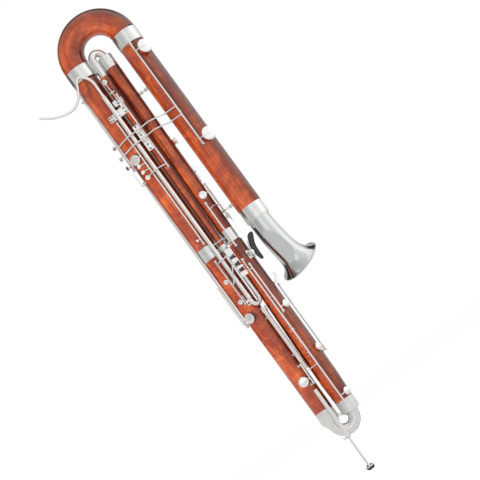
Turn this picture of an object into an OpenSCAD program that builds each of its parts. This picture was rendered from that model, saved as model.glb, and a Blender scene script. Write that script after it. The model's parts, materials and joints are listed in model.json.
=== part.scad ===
// Contrabassoon, folded four times, standing on its endpin. Millimetres, +Z up, keywork side at -Y.
// The origin is the bottom centre of the endpin foot. The big tubes stand in one plane behind the endpin.

/* [Layout] */
// Distance of the plane of the big tubes behind the endpin axis
tube_plane_y = 29; // [29:1:32]
// Sideways place of the long joint's axis
long_x = -13.2; // [-14:0.2:-12.4]
// Distance from the long joint's axis to the bell joint's axis
top_spacing = 148; // [146:1:152]
// Running clearance between a sliding or turning piece and its hole, on the radius
fit = 0.08; // [0.04:0.01:0.1]
// Clearance between separate pieces that only lie beside each other
seat = 0.3; // [0.2:0.05:0.4]
// Wall of every ferrule
ferrule_wall = 1.6; // [1.2:0.1:2]

/* [Long joint] */
// Diameter at the lower end
long_d_low = 48; // [46:0.5:50]
// Diameter at the upper end
long_d_top = 62; // [60:0.5:63]
// Height of the joint's lower end
long_low_z = 153; // [152:0.5:155]
// Height of the joint's upper end
long_top_z = 1200; // [1196:1:1204]
// Height where the two halves of the joint meet
long_split_z = 653; // [648:1:658]
// Bore at the lower end
long_bore_low = 31; // [29:0.5:33]
// Bore at the upper end
long_bore_top = 42; // [40:0.5:44]

/* [Middle joint] */
// Sideways place of its axis at its lower end
mid_low_x = 42.3; // [42:0.1:42.6]
// Lean of the joint towards the bell joint, in degrees
mid_lean = 0.95; // [0.9:0.01:1]
// Height of its lower end
mid_low_z = 146; // [145:0.5:148]
// Height where the two halves meet
mid_split_z = 659; // [655:1:662]
// Height of its upper end
mid_top_z = 1209; // [1206:1:1212]
// Diameter of the thin upper half
mid_d = 38.4; // [37:0.2:39]
// Largest diameter of the lower half
mid_belly_d = 52; // [50:0.5:52.5]
// Diameter at the top of the lower half
mid_neck_d = 43; // [42:0.5:44]
// Bore of the upper half
mid_bore = 19; // [17:0.5:21]
// Bore of the lower half
mid_bore_low = 26; // [24:0.5:28]

/* [First joint] */
// Sideways place of its axis at its lower end
first_low_x = 22; // [21.5:0.1:22.4]
// Distance of its axis in front of the tube plane
first_forward = 17; // [16.6:0.2:18]
// Height of its lower end
first_low_z = 640; // [637:1:644]
// Height of its upper end
first_top_z = 1196; // [1192:1:1200]
// Lean towards the bell joint, in degrees
first_lean = 0.9; // [0.86:0.01:0.94]
// Diameter at the lower end
first_d_low = 18; // [17:0.2:18.4]
// Diameter at the upper end
first_d_top = 24.8; // [24:0.2:25]
// Bore
first_bore = 11; // [10:0.5:12]

/* [Bell joint and U-bend] */
// Diameter of the bell joint
bell_joint_d = 66; // [65:0.5:67]
// Height of the bell joint's lower end
bell_joint_low_z = 676; // [672:1:680]
// Height of the bell joint's upper end
bell_joint_top_z = 1208; // [1205:1:1212]
// Wall of the bell joint
bell_joint_wall = 8; // [7:0.5:9]
// Outer diameter of the two ferrules under the U-bend
bend_ferrule_d = 69.6; // [69.2:0.1:70]
// Top of the ferrule on the long joint
long_ferrule_top_z = 1226; // [1223:1:1228]
// Top of the ferrule on the bell joint
bell_ferrule_top_z = 1233; // [1230:1:1233]
// Height of each of these ferrules
bend_ferrule_h = 38; // [36:1:39]
// Outer diameter of the U-bend's tube
bend_d = 68; // [67.6:0.1:68.4]
// Height of the centre of the U-bend's arc
bend_arc_z = 1233.5; // [1233.3:0.1:1236]
// How far the U-bend lifts off its ferrules
bend_lift = 25; // [20:1:30]

/* [Bell] */
// Height of the lower edge of the bell ferrule
bell_ferrule_low_z = 655; // [652:1:657]
// Height of the bell ferrule
bell_ferrule_h = 35; // [33:1:37]
// Outer diameter of the bell ferrule
bell_ferrule_d = 63.6; // [63:0.2:65]
// Diameter of the bell at its top
bell_top_d = 56.6; // [56:0.2:57.4]
// Growth of the bell's radius before the flare
bell_cone = 4; // [3:0.2:5]
// Extra radius of the flare at the mouth
bell_flare = 26; // [23:0.5:28]
// Length of the bell along its axis
bell_length = 150; // [146:1:154]
// Bend of the bell's axis from top to mouth, in degrees
bell_bend = 28; // [25:0.5:30]
// Direction of that bend, from the right towards the back, in degrees
bell_bend_turn = 55; // [50:1:60]
// Wall of the bell
bell_wall = 1.5; // [1.2:0.1:1.8]
// Wall of the bell's tenon ring
tenon_wall = 3.3; // [3:0.1:3.6]
// Diameter of the wired rim
bell_rim_d = 4.4; // [3.6:0.2:5]
// How far the bell pulls off
bell_pull = 16; // [14:1:18]

/* [Small bows and leadpipe] */
// Sideways place of the leadpipe
lead_x = 0.8; // [0.4:0.1:1.2]
// Distance of the leadpipe in front of the tube plane
lead_forward = 37; // [36.6:0.1:37.4]
// Outer diameter of the leadpipe
lead_d = 11; // [10.6:0.1:11.2]
// Bore of the leadpipe where its slides run
lead_bore = 9.6; // [9.4:0.1:9.8]
// Height of the leadpipe's lower end
lead_low_z = 506; // [503:1:509]
// Height of the leadpipe's upper end
lead_top_z = 1094; // [1091:1:1097]
// Tube diameter of the tuning bow
tuning_bow_d = 11.4; // [11:0.1:11.8]
// How far the tuning bow pulls down, which the drip cup limits
tuning_pull = 5.5; // [4:0.5:5.5]
// Height of the visible sleeve of the tuning receiver
receiver_h = 26; // [24:1:28]
// Diameter of that sleeve
receiver_d = 11.8; // [11.6:0.1:12.4]
// How far the receiver pulls up
receiver_pull = 15; // [12:1:18]
// Bore of the receiver, which the bocal turns in
receiver_bore = 8.2; // [8:0.1:8.4]
// Tube diameter of the small top bow
top_bow_d = 19.4; // [18.6:0.2:19.8]

/* [Bottom bow and endpin] */
// Tube diameter of the bottom bow
bow_d = 33; // [32:0.5:34]
// Height of the centre of the bottom bow's arc
bow_arc_z = 136; // [135:0.5:137]
// Bottom of the ferrule of the long joint's leg
bow_left_z = 148; // [147:0.5:149]
// Bottom of the ferrule of the middle joint's leg
bow_right_z = 141; // [140:0.5:142]
// Height of these two ferrules
bow_ferrule_h = 32; // [30:1:34]
// Diameter of the endpin rod
endpin_d = 9; // [8.6:0.1:9.4]
// Outer diameter of the tube that the endpin slides in
endpin_tube_d = 11; // [10.8:0.1:11.4]
// Height of the clamp collar's lower face
collar_z = 90; // [88:1:92]
// Height of the clamp collar
collar_h = 18; // [17:1:19]
// Top of the endpin's tube
endpin_tube_top_z = 232; // [228:1:236]
// Length of the endpin rod
endpin_length = 150; // [146:1:154]
// How far the endpin goes in
endpin_in = 60; // [50:1:62]
// How far the endpin comes further out
endpin_out = 20; // [15:1:25]
// Diameter of the foot's flange
foot_d = 24; // [22:0.5:26]
// Height of the rubber tip
foot_h = 7.5; // [7:0.5:8]

/* [Keywork] */
// Diameter of the hinge tubes
tube_d = 4.5; // [4.2:0.1:4.8]
// Diameter of the pivots at the ends of the hinge tubes
pivot_d = 2.4; // [2.2:0.1:2.6]
// Diameter of a post's head
post_head_d = 6.4; // [6.2:0.1:6.8]
// Length of a post's head along the hinge
post_head_h = 4.6; // [4.4:0.1:5]
// Height of hinge axes above the wood
hinge_rise = 7; // [6.8:0.1:7.2]
// Height of a tone hole's ring above the wood
ring_h = 3; // [2.8:0.1:3.2]
// Height of a pad cup
cup_h = 3.4; // [3.2:0.1:3.6]
// How far a pad stands out of its cup
pad_out = 1.2; // [1:0.1:1.4]
// Diameter of key arms
arm_d = 3; // [2.8:0.1:3.2]
// Diameter of the two bell pad cups
bell_cup_d = 36; // [35:0.5:37]
// Diameter of the large pad cups
large_cup_d = 26; // [25:0.5:27]
// Diameter of the small pad cups
small_cup_d = 20; // [19:0.5:20.5]
// Resting opening of the bell keys, in degrees
bell_key_open = 10; // [8:0.5:11]
// Resting opening of the other open keys, in degrees
key_open = 8; // [7:0.5:9]
// Opening of the closed keys when pressed, in degrees
key_lift = 8; // [6:0.5:9]
// Diameter of the touches of the left-hand finger keys
touch_d = 12; // [11:0.5:12]
// Diameter of the three rollers between the little-finger touches
roller_d = 6.6; // [6.2:0.1:7]
// Width of the little-finger touches
plate_w = 17; // [16:0.5:18]

/* [Hand rest] */
// Diameter of the hand rest's stem
stem_d = 6; // [5.6:0.1:6.4]
// How far the stem slides out of its block
stem_slide = 4; // [3:0.5:5]
// Largest radius of the crutch
crutch_r = 8.6; // [8:0.2:9]

/* [Hidden] */
$fn = 48;

silver = [0.86, 0.87, 0.88];
maple = [0.62, 0.27, 0.14];
black = [0.08, 0.08, 0.09];

// Places worked out from the sizes above
ty = tube_plane_y;
bell_x = long_x + top_spacing;
lead_y = ty - lead_forward;
first_y = ty - first_forward;
bend_ferrule_bore = bend_ferrule_d - 2 * ferrule_wall;
bell_joint_bore = bell_joint_d - 2 * bell_joint_wall;
bow_reach = mid_low_x - long_x;

function long_r(z) = (long_d_low + (long_d_top - long_d_low)
    * (z - long_low_z) / (long_top_z - long_low_z)) / 2;
function long_bore(z) = (long_bore_low + (long_bore_top - long_bore_low) * (z - long_low_z)
    / (long_top_z - long_low_z)) / 2;
function mid_x(z) = mid_low_x + (z - mid_low_z) * tan(mid_lean);
function mid_r(z) = z > mid_neck_z ? mid_d / 2
    : z > belly_z ? (mid_belly_d + (mid_neck_d - mid_belly_d) * (z - belly_z) / (mid_neck_z - belly_z)) / 2
    : z > belly_low_z ? mid_belly_d / 2
    : mid_foot_r + (mid_belly_d / 2 - mid_foot_r) * (z - mid_foot_z) / (belly_low_z - mid_foot_z);
function first_x(z) = first_low_x + (z - first_low_z) * tan(first_lean);
function first_r(z) = (first_d_low + (first_d_top - first_d_low) * (z - first_low_z)
    / (first_top_z - first_low_z)) / 2;
// Point at distance r from a tube's axis, at angle a from the front, positive to the right
function around(x, r, a, y = ty) = [x + r * sin(a), y - r * cos(a)];
function at(h, z) = [h[0], h[1], z];
// Front surface of a round joint at sideways place px, and its foremost place over a foot of radius w
function front(x, y, r, px) = y - sqrt(r * r - (px - x) * (px - x));
function foremost(x, y, r, px, w) = min(front(x, y, r, px - w), front(x, y, r, px), front(x, y, r, px + w));

// Height where the middle joint's lower half is widest, and where it narrows to its ferrule
belly_z = 300;
belly_low_z = 230;
mid_neck_z = mid_split_z - 21;
mid_foot_z = bow_right_z + bow_ferrule_h;
bow_socket_r = long_r(long_low_z) + 0.2;
mid_foot_r = bow_socket_r - 0.3;

// Turned body about the Z axis: outer and inner outlines are lists of [height, radius]
module turned(outer, inner) {
    rotate_extrude()
        polygon(concat([for (p = outer) [p[1], p[0]]],
            [for (i = [len(inner) - 1:-1:0]) [inner[i][1], inner[i][0]]]));
}

// Plain tube between two heights
module tube(z0, z1, d, bore) {
    translate([0, 0, z0]) difference() {
        cylinder(d = d, h = z1 - z0);
        translate([0, 0, -1]) cylinder(d = bore, h = z1 - z0 + 2);
    }
}

// Frames: a child drawn about Z at true heights is moved on to the joint's own axis
module on_long() { translate([long_x, ty, 0]) children(); }
module on_bell_joint() { translate([bell_x, ty, 0]) children(); }
module on_middle() {
    translate([mid_low_x, ty, mid_low_z]) rotate([0, mid_lean, 0]) translate([0, 0, -mid_low_z]) children();
}
module on_first() {
    translate([first_low_x, first_y, first_low_z]) rotate([0, first_lean, 0])
        translate([0, 0, -first_low_z]) children();
}

// Child's +Z points out of a tube at x, at angle a from the front, at height z
module facing(x, a, z, y = ty) { translate([x, y, z]) rotate([0, 0, a]) rotate([90, 0, 0]) children(); }

// Round bar between two points, and a run of bars with round corners
module bar(a, b, d) {
    v = b - a;
    translate(a) rotate([0, acos(v[2] / norm(v)), atan2(v[1], v[0])]) cylinder(d = d, h = norm(v), $fn = 24);
}
module run(points, d) {
    n = len(points);
    for (i = [0:n - 2]) {
        v = (points[i + 1] - points[i]) / norm(points[i + 1] - points[i]);
        bar(points[i] - v * (i > 0 ? 0.32 * d : 0), points[i + 1] + v * (i < n - 2 ? 0.32 * d : 0), d);
    }
}

// Half of a ring: an arch between two points at one height, bulging up, or down when down is true
module arch(a, b, z, d, bore, down = false) {
    reach = norm(b - a);
    translate([(a[0] + b[0]) / 2, (a[1] + b[1]) / 2, z]) rotate([0, 0, atan2(b[1] - a[1], b[0] - a[0])])
        rotate([down ? -90 : 90, 0, 0]) difference() {
            rotate_extrude(angle = 180) translate([reach / 2, 0]) circle(d = d);
            rotate_extrude(angle = 180) translate([reach / 2, 0]) circle(d = bore);
        }
}

// Skin through rings of equal length: joined end to end, or closed by a cap at each end
module skin(rings, capped = false) {
    n = len(rings[0]);
    m = len(rings);
    sides = [for (i = [0:m - (capped ? 2 : 1)]) for (j = [0:n - 1]) for (k = [0:1])
        let (a = i * n + j, b = i * n + (j + 1) % n, c = (i + 1) % m * n + j,
            e = (i + 1) % m * n + (j + 1) % n)
        k == 0 ? [a, c, b] : [b, c, e]];
    caps = capped ? [[for (j = [0:n - 1]) j], [for (j = [n - 1:-1:0]) (m - 1) * n + j]] : [];
    polyhedron(points = [for (r = rings) for (p = r) p], faces = concat(sides, caps));
}

// Hinge tube with its two pivots, between the posts at heights z0 and z1
module hinge(h, z0, z1) {
    reach = post_head_h / 2 + seat;
    translate([h[0], h[1], z0 + reach]) cylinder(d = tube_d, h = z1 - z0 - 2 * reach);
    translate([h[0], h[1], z0 + 0.6]) cylinder(d = pivot_d, h = z1 - z0 - 1.2);
}

// Post with its foot on a tube of radius r at x, y, and its drilled head on the hinge axis h
module post(x, y, r, h, z) {
    reach = norm([h[0] - x, h[1] - y]);
    a = atan2(h[0] - x, y - h[1]);
    difference() {
        union() {
            translate([x, y, z]) rotate([0, 0, a]) rotate([90, 0, 0]) translate([0, 0, r + seat / 2]) {
                cylinder(d = 3.2, h = reach - r - seat / 2);
                cylinder(d = 7.4, h = 1.2);
            }
            translate([h[0], h[1], z - post_head_h / 2]) cylinder(d = post_head_d, h = post_head_h);
        }
        translate([h[0], h[1], z - post_head_h]) cylinder(d = pivot_d + 2 * fit, h = 2 * post_head_h);
    }
}

// Pad cup over a tone hole, with its pad standing out below
module cup(x, r, a, z, d, y = ty) {
    facing(x, a, z, y) translate([0, 0, r + ring_h + seat]) {
        cylinder(d = d - 2.2, h = pad_out + 1);
        translate([0, 0, pad_out]) cylinder(d = d, h = cup_h - 1);
        translate([0, 0, pad_out + cup_h - 1]) cylinder(d1 = d, d2 = d * 0.55, h = 1);
    }
}
// End of an arm that is sunk a little into the top of a cup
function cup_top(x, r, a, z, y = ty) = at(around(x, r + ring_h + seat + pad_out + cup_h - 0.6, a, y), z);

// Ring round a tone hole, with its foot cut to the tube, and cut clear by more where the tube tapers
module ring(x, y, r, a, z, d, grow = 0) {
    difference() {
        translate([x, y, z]) rotate([0, 0, a]) rotate([90, 0, 0]) difference() {
            cylinder(d = d - 3, h = r + ring_h);
            translate([0, 0, -1]) cylinder(d = d - 7, h = r + ring_h + 2);
        }
        translate([x, y, z - d]) cylinder(r = r + seat / 2 + grow, h = 2 * d);
        translate([x, y, z]) rotate([0, 0, a]) translate([-d, 0, -d]) cube(2 * d);
    }
}

// Child turned about a hinge, for keys that stand open at rest
module swing(h, a) { translate(at(h, 0)) rotate([0, 0, a]) translate(-at(h, 0)) children(); }

// Wooden joints

module long_joint_lower() {
    tenon_r = long_bore(long_split_z) + 4;
    color(maple) on_long() turned(
        [[long_low_z, long_r(long_low_z) - ferrule_wall - seat / 2],
            [bow_left_z + bow_ferrule_h, long_r(long_low_z) - ferrule_wall - seat / 2],
            [bow_left_z + bow_ferrule_h, long_r(bow_left_z + bow_ferrule_h)],
            [mid_ring_low_z, long_r(mid_ring_low_z)],
            [mid_ring_low_z, mid_ring_r - ferrule_wall - seat / 2],
            [long_split_z, mid_ring_r - ferrule_wall - seat / 2],
            [long_split_z, tenon_r], [long_split_z + 24, tenon_r]],
        [[long_low_z, long_bore(long_low_z)], [long_split_z + 24, long_bore(long_split_z + 24)]]);
}

// Ring ferrule over the meeting of the long joint's halves
mid_ring_low_z = long_split_z - 17;
mid_ring_top_z = long_split_z + 17;
mid_ring_r = long_r(mid_ring_top_z) + 0.6;

module long_joint_upper() {
    socket_r = long_bore(long_split_z) + 4 + fit;
    collar_r = bend_ferrule_bore / 2 - seat / 2;
    color(maple) on_long() turned(
        [[long_split_z + seat / 2, mid_ring_r - ferrule_wall - seat / 2],
            [mid_ring_top_z, mid_ring_r - ferrule_wall - seat / 2],
            [mid_ring_top_z, long_r(mid_ring_top_z)],
            [long_ferrule_low_z, long_r(long_ferrule_low_z)], [long_ferrule_low_z, collar_r],
            [long_top_z, collar_r]],
        [[long_split_z + seat / 2, socket_r], [long_split_z + 24 + seat, socket_r],
            [long_split_z + 24 + seat, long_bore(long_split_z + 24)], [long_top_z, long_bore(long_top_z)]]);
}
long_ferrule_low_z = long_ferrule_top_z - bend_ferrule_h;
bell_side_ferrule_low_z = bell_ferrule_top_z - bend_ferrule_h;

module long_joint_ferrule() {
    color(silver) on_long() tube(mid_ring_low_z, mid_ring_top_z, 2 * mid_ring_r,
        2 * (mid_ring_r - ferrule_wall));
}

// Ferrule over the meeting of the middle joint's halves
mid_ferrule_low_z = mid_split_z - 17;
mid_ferrule_top_z = mid_split_z + 17;

module middle_joint_lower() {
    inner_r = mid_d / 2 - ferrule_wall - seat / 2;
    socket_r = mid_bore / 2 + 3;
    foot_r = bow_socket_r - ferrule_wall - seat / 2;
    color(maple) on_middle() turned(
        [[mid_low_z, foot_r], [mid_foot_z, foot_r], [mid_foot_z, mid_foot_r],
            [belly_low_z, mid_belly_d / 2], [237, mid_belly_d / 2], [237.3, mid_belly_d / 2 - 0.5],
            [238, mid_belly_d / 2 - 0.5], [238.3, mid_belly_d / 2], [belly_z, mid_belly_d / 2],
            [mid_neck_z, mid_neck_d / 2], [mid_ferrule_low_z, mid_d / 2], [mid_ferrule_low_z, inner_r],
            [mid_split_z, inner_r]],
        [[mid_low_z, mid_bore_low / 2], [mid_split_z - 27, mid_bore_low / 2 - 3],
            [mid_split_z - 24, socket_r + fit], [mid_split_z, socket_r + fit]]);
}

module middle_joint_upper() {
    inner_r = mid_d / 2 - ferrule_wall - seat / 2;
    color(maple) on_middle() turned(
        [[mid_split_z - 22, mid_bore / 2 + 3], [mid_split_z + seat, mid_bore / 2 + 3],
            [mid_split_z + seat, inner_r], [mid_ferrule_top_z, inner_r], [mid_ferrule_top_z, mid_d / 2],
            [mid_cap_low_z, mid_d / 2], [mid_cap_low_z, inner_r], [mid_top_z, inner_r]],
        [[mid_split_z - 22, mid_bore / 2], [mid_top_z, mid_bore / 2 - 1]]);
}
mid_cap_low_z = mid_top_z - 32;

module middle_joint_ferrule() {
    color(silver) on_middle() tube(mid_ferrule_low_z, mid_ferrule_top_z, mid_d, mid_d - 2 * ferrule_wall);
}

// Cap over the top of the middle joint, with the hole that the small bow enters
module middle_joint_cap() {
    color(silver) on_middle() turned(
        [[mid_cap_low_z, mid_d / 2 + 0.3], [mid_top_z + 3, mid_d / 2 + 0.3],
            [mid_top_z + 4, mid_d / 2 - 0.7]],
        [[mid_cap_low_z, mid_d / 2 - ferrule_wall], [mid_top_z + seat, mid_d / 2 - ferrule_wall],
            [mid_top_z + seat, top_spigot_r + seat / 2], [mid_top_z + 4, top_spigot_r + seat / 2]]);
}

module first_joint() {
    tenon_r = first_r(first_low_z) - 1.6;
    color(maple) on_first() turned(
        [[first_low_z, tenon_r], [first_low_z + 10, tenon_r], [first_low_z + 10, first_r(first_low_z + 10)],
            [first_ferrule_low_z, first_r(first_ferrule_low_z)], [first_ferrule_low_z, first_ferrule_r - 1.8],
            [first_top_z, first_ferrule_r - 1.8]],
        [[first_low_z, first_bore / 2 - 1], [first_top_z, first_bore / 2]]);
}
first_ferrule_r = top_bow_d / 2;
top_spigot_r = top_bow_d / 2 - 1.8;
first_ferrule_low_z = first_top_z - 30;
top_bow_z = mid_top_z + 4.5;

// Socket below the first joint, down to the tuning bow's leg, and the tall ferrule above it
module first_joint_ferrules() {
    color(silver) {
        translate([first_low_x, first_y, 0]) turned(
            [[lead_low_z, lead_d / 2], [first_low_z - 22, lead_d / 2],
                [first_low_z - 8, first_r(first_low_z) + 0.8],
                [first_low_z + 9, first_r(first_low_z) + 0.8]],
            [[lead_low_z, lead_bore / 2], [first_low_z - 20, lead_bore / 2], [first_low_z - 2, lead_bore / 2],
                [first_low_z - 2, first_r(first_low_z) - 1], [first_low_z + 9, first_r(first_low_z) - 1]]);
        on_first() turned(
            [[first_ferrule_low_z, first_ferrule_r + 0.5], [first_ferrule_low_z + 3, first_ferrule_r + 0.5],
                [first_ferrule_low_z + 3.2, first_ferrule_r], [top_bow_z - seat, first_ferrule_r]],
            [[first_ferrule_low_z, first_ferrule_r - 1.6], [top_bow_z - seat, first_ferrule_r - 1.6]]);
    }
}

// Small bow from the first joint over to the middle joint
module top_bow() {
    a = [first_x(top_bow_z), first_y];
    b = [mid_x(top_bow_z), ty];
    color(silver) {
        arch(a, b, top_bow_z + 1, top_bow_d, mid_bore - 6);
        for (p = [a, b]) translate(at(p, 0)) turned(
            [[top_bow_z - 3, top_spigot_r], [top_bow_z, top_spigot_r], [top_bow_z, top_bow_d / 2 - 0.06],
                [top_bow_z + 1.8, top_bow_d / 2 - 0.06]],
            [[top_bow_z - 3, mid_bore / 2 - 2.9], [top_bow_z + 1.8, mid_bore / 2 - 2.9]]);
    }
}

// Metal U-tube at the bottom with the two ferrules that hold the long and middle joints
module bow_leg(low_z) {
    top_z = low_z + bow_ferrule_h;
    turned([[bow_arc_z, bow_d / 2], [low_z, bow_socket_r - 0.8], [low_z + 1.2, bow_socket_r],
        [top_z, bow_socket_r]],
        [[bow_arc_z, bow_d / 2 - 1.5], [low_z + 4, bow_d / 2 - 1.5], [low_z + 4, bow_socket_r - ferrule_wall],
            [top_z, bow_socket_r - ferrule_wall]]);
}
module bottom_bow() {
    color(silver) {
        arch([long_x, ty], [mid_low_x, ty], bow_arc_z, bow_d, bow_d - 3, true);
        on_long() bow_leg(bow_left_z);
        on_middle() bow_leg(bow_right_z);
        difference() {
            translate([(long_x + mid_low_x) / 2 - 6, ty - 2, bow_right_z + 2]) cube([12, 4, 9]);
            translate([long_x, ty, 0]) cylinder(r = bow_socket_r - 0.5, h = 300);
            translate([mid_low_x, ty, 0]) cylinder(r = bow_socket_r - 0.5, h = 300);
        }
    }
}

// Leadpipe, receiver, bocal and tuning bow

module leadpipe() {
    color(silver) translate([lead_x, lead_y, 0]) turned(
        [[lead_low_z, lead_d / 2 + 0.6], [lead_low_z + 8, lead_d / 2 + 0.6], [lead_low_z + 8.5, lead_d / 2],
            [lead_top_z - 6, lead_d / 2], [lead_top_z - 5.5, lead_d / 2 + 0.4],
                [lead_top_z, lead_d / 2 + 0.4]],
        [[lead_low_z, lead_bore / 2], [lead_low_z + 40, lead_bore / 2],
            [lead_low_z + 40, lead_bore / 2 - 0.9],
            [lead_top_z - 52, lead_bore / 2 - 0.9], [lead_top_z - 52, lead_bore / 2],
                [lead_top_z, lead_bore / 2]]);
}

module receiver() {
    z0 = lead_top_z + seat;
    z1 = z0 + receiver_h;
    slide_r = lead_bore / 2 - fit;
    color(silver) translate([lead_x, lead_y, 0]) turned(
        [[z0 - 45, slide_r], [z0, slide_r], [z0, receiver_d / 2], [z1 - 4, receiver_d / 2],
            [z1 - 3, receiver_d / 2 + 0.5], [z1, receiver_d / 2 + 0.5]],
        [[z0 - 45, slide_r - 1.1], [z1 - 22, slide_r - 1.1], [z1 - 22, receiver_bore / 2],
            [z1, receiver_bore / 2]]);
}

// The bocal's centre line, as offsets from the top of the receiver
receiver_top_z = lead_top_z + seat + receiver_h;
bocal_line = [[0, 0, 1], [0, 0, 23], [0, -1, 42], [-4, -3, 58], [-13, -7, 69], [-24, -12, 73], [-33, -17, 65],
    [-42, -23, 45], [-50, -29, 29], [-63, -37, 15], [-81, -47, 6], [-101, -58, 5], [-127, -70, 11],
        [-147, -78, 23]];
bocal_normal = [0.46, -0.888, 0];
bocal_steps = 3;
function spline(p, i, t) =
    let (a = p[max(i - 1, 0)], b = p[i], c = p[i + 1], e = p[min(i + 2, len(p) - 1)])
    0.5 * (2 * b + (c - a) * t + (2 * a - 5 * b + 4 * c - e) * t * t + (3 * b - a - 3 * c + e) * t * t * t);
bocal_path = [for (i = [0:len(bocal_line) - 2]) for (k = [0:bocal_steps - 1])
    spline(bocal_line, i, k / bocal_steps) + [lead_x, lead_y, receiver_top_z],
    bocal_line[len(bocal_line) - 1] + [lead_x, lead_y, receiver_top_z]];
bocal_end = len(bocal_path) - 1;
bocal_dir = [for (i = [0:bocal_end]) let (v = bocal_path[min(i + 1, bocal_end)] - bocal_path[max(i - 1, 0)])
    v / norm(v)];
bocal_tip_d = 5.4;
module bocal() {
    sides = 14;
    rings = [for (inside = [0:1]) for (k = [0:bocal_end])
        let (i = inside == 0 ? k : bocal_end - k,
            u = cross(bocal_dir[i], bocal_normal) / norm(cross(bocal_dir[i], bocal_normal)),
            w = cross(bocal_dir[i], u),
            r = (receiver_bore - 0.2 + (bocal_tip_d - receiver_bore + 0.2) * i / bocal_end) / 2
            - (inside == 0 ? 0 : 1))
        [for (j = [0:sides - 1]) bocal_path[i] + r * (u * cos(360 * j / sides) + w * sin(360 * j / sides))]];
    color(silver) {
        skin(rings);
        translate([lead_x, lead_y, receiver_top_z - 16]) difference() {
            cylinder(d = receiver_bore - 2 * fit, h = 17.6);
            translate([0, 0, -1]) cylinder(d = receiver_bore - 2.4, h = 22);
        }
        tip = bocal_path[bocal_end];
        v = bocal_dir[bocal_end];
        difference() {
            bar(tip - v * 0.6, tip + v * 10, bocal_tip_d + 0.2);
            bar(tip - v * 3, tip + v * 12, bocal_tip_d - 2.2);
        }
    }
}

module tuning_bow() {
    a = [lead_x, lead_y];
    b = [first_low_x, first_y];
    z1 = lead_low_z - seat;
    slide_r = lead_bore / 2 - fit;
    leg_r = tuning_bow_d / 2 - 0.06;
    color(silver) {
        arch(a, b, tuning_arc_z, tuning_bow_d, tuning_bow_d - 2.2, true);
        for (p = [a, b]) translate(at(p, 0)) turned(
            [[tuning_arc_z - 0.8, leg_r], [z1 - 5, leg_r], [z1 - 4.5, leg_r + 0.6],
                [z1, leg_r + 0.6], [z1, slide_r], [z1 + 34, slide_r]],
            [[tuning_arc_z - 0.8, leg_r - 0.98], [z1 + 34, leg_r - 1.5]]);
        difference() {
            for (s = [-1, 1]) translate([water_h[0] - 2, lead_y + s * 3.2 - 1, tuning_arc_z + 0.4])
                cube([7, 2, 4.6]);
            translate([water_h[0], lead_y - 9, water_z]) rotate([-90, 0, 0])
                cylinder(d = 2 + 2 * fit, h = 18);
        }
        translate([water_h[0] + 1.6, lead_y + 0.8, water_z - 9.4]) rotate([0, 75, 0])
            cylinder(d = 4.4, h = 4);
    }
}
tuning_arc_z = lead_low_z - 10;

// Drip tube that leads water from the tuning bow down past the joints, with its cup
drip_x = 13.4;
drip_y = ty - 23;
drip_top_z = tuning_arc_z - norm([lead_x - first_low_x,
    lead_y - first_y]) / 2 - tuning_bow_d / 2 - tuning_pull - 2;
drip_low_z = 285;
module drip_tube() {
    color(silver) translate([drip_x, drip_y, 0]) turned(
        [[drip_low_z, 4.5], [drip_low_z + 4, 6], [drip_top_z - 18, 6], [drip_top_z - 10, 8.6],
            [drip_top_z, 8.6]],
        [[drip_low_z, 3.5], [drip_low_z + 4, 5], [drip_top_z - 17, 5], [drip_top_z - 9, 7.6],
            [drip_top_z, 7.6]]);
    reach = norm([drip_x - long_x, drip_y - ty]);
    color(silver) for (z = drip_clip_zs)
        facing(long_x, atan2(drip_x - long_x, ty - drip_y), z) translate([0, 0, long_r(z) + seat / 2]) {
            cylinder(d = 9, h = 1.4);
            cylinder(d = 4, h = reach - 5.3 - long_r(z) - seat / 2);
        }
}
drip_clip_zs = [330, 440];

// Water key on the outside of the tuning bow
water_h = [lead_x - tuning_bow_d / 2 - 3.6, lead_y];
water_z = tuning_arc_z + 2.6;
module water_key() {
    x = water_h[0];
    color(silver) {
        translate([x, lead_y - 1.9, water_z]) rotate([-90, 0, 0]) cylinder(d = 3.8, h = 3.8);
        translate([x, lead_y - 4.3, water_z]) rotate([-90, 0, 0]) cylinder(d = 2, h = 8.6);
        run([[x, lead_y, water_z], [x - 0.8, lead_y, water_z + 4.6], [x - 1.6, lead_y - 4, water_z + 10],
            [x - 1, lead_y - 6, water_z + 20]], 2.6);
        run([[x, lead_y, water_z], [x - 2, lead_y + 0.5, water_z - 8.6]], 2.6);
        translate([x - 1.7, lead_y + 0.8, water_z - 9.8]) rotate([0, 75, 0]) cylinder(d = 6, h = 2.8);
    }
}

// U-bend, bell joint and bell

module u_bend() {
    tenon_r = bend_ferrule_bore / 2 - fit;
    bore_r = long_bore(long_top_z) + 1;
    color(maple) {
        arch([long_x, ty], [bell_x, ty], bend_arc_z, bend_d, 2 * bore_r);
        for (p = [[long_x, long_ferrule_top_z, long_top_z], [bell_x, bell_ferrule_top_z, bell_joint_top_z]])
            translate([p[0], ty, 0]) turned(
                [[p[2] + seat, tenon_r], [p[1] + seat, tenon_r], [p[1] + seat, bend_d / 2],
                    [bend_arc_z, bend_d / 2]],
                [[p[2] + seat, bore_r], [bend_arc_z, bore_r]]);
    }
}

module u_bend_ferrules() {
    color(silver) {
        for (p = [[long_x, long_ferrule_low_z, long_ferrule_top_z],
            [bell_x, bell_side_ferrule_low_z, bell_ferrule_top_z]])
            translate([p[0], ty, 0]) {
                tube(p[1], p[2], bend_ferrule_d, bend_ferrule_bore);
                translate([0, -bend_ferrule_d / 2 + 0.6, (p[1] + p[2]) / 2]) rotate([90, 0, 0])
                    cylinder(d = 3, h = 1.4);
            }
    }
}

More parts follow.
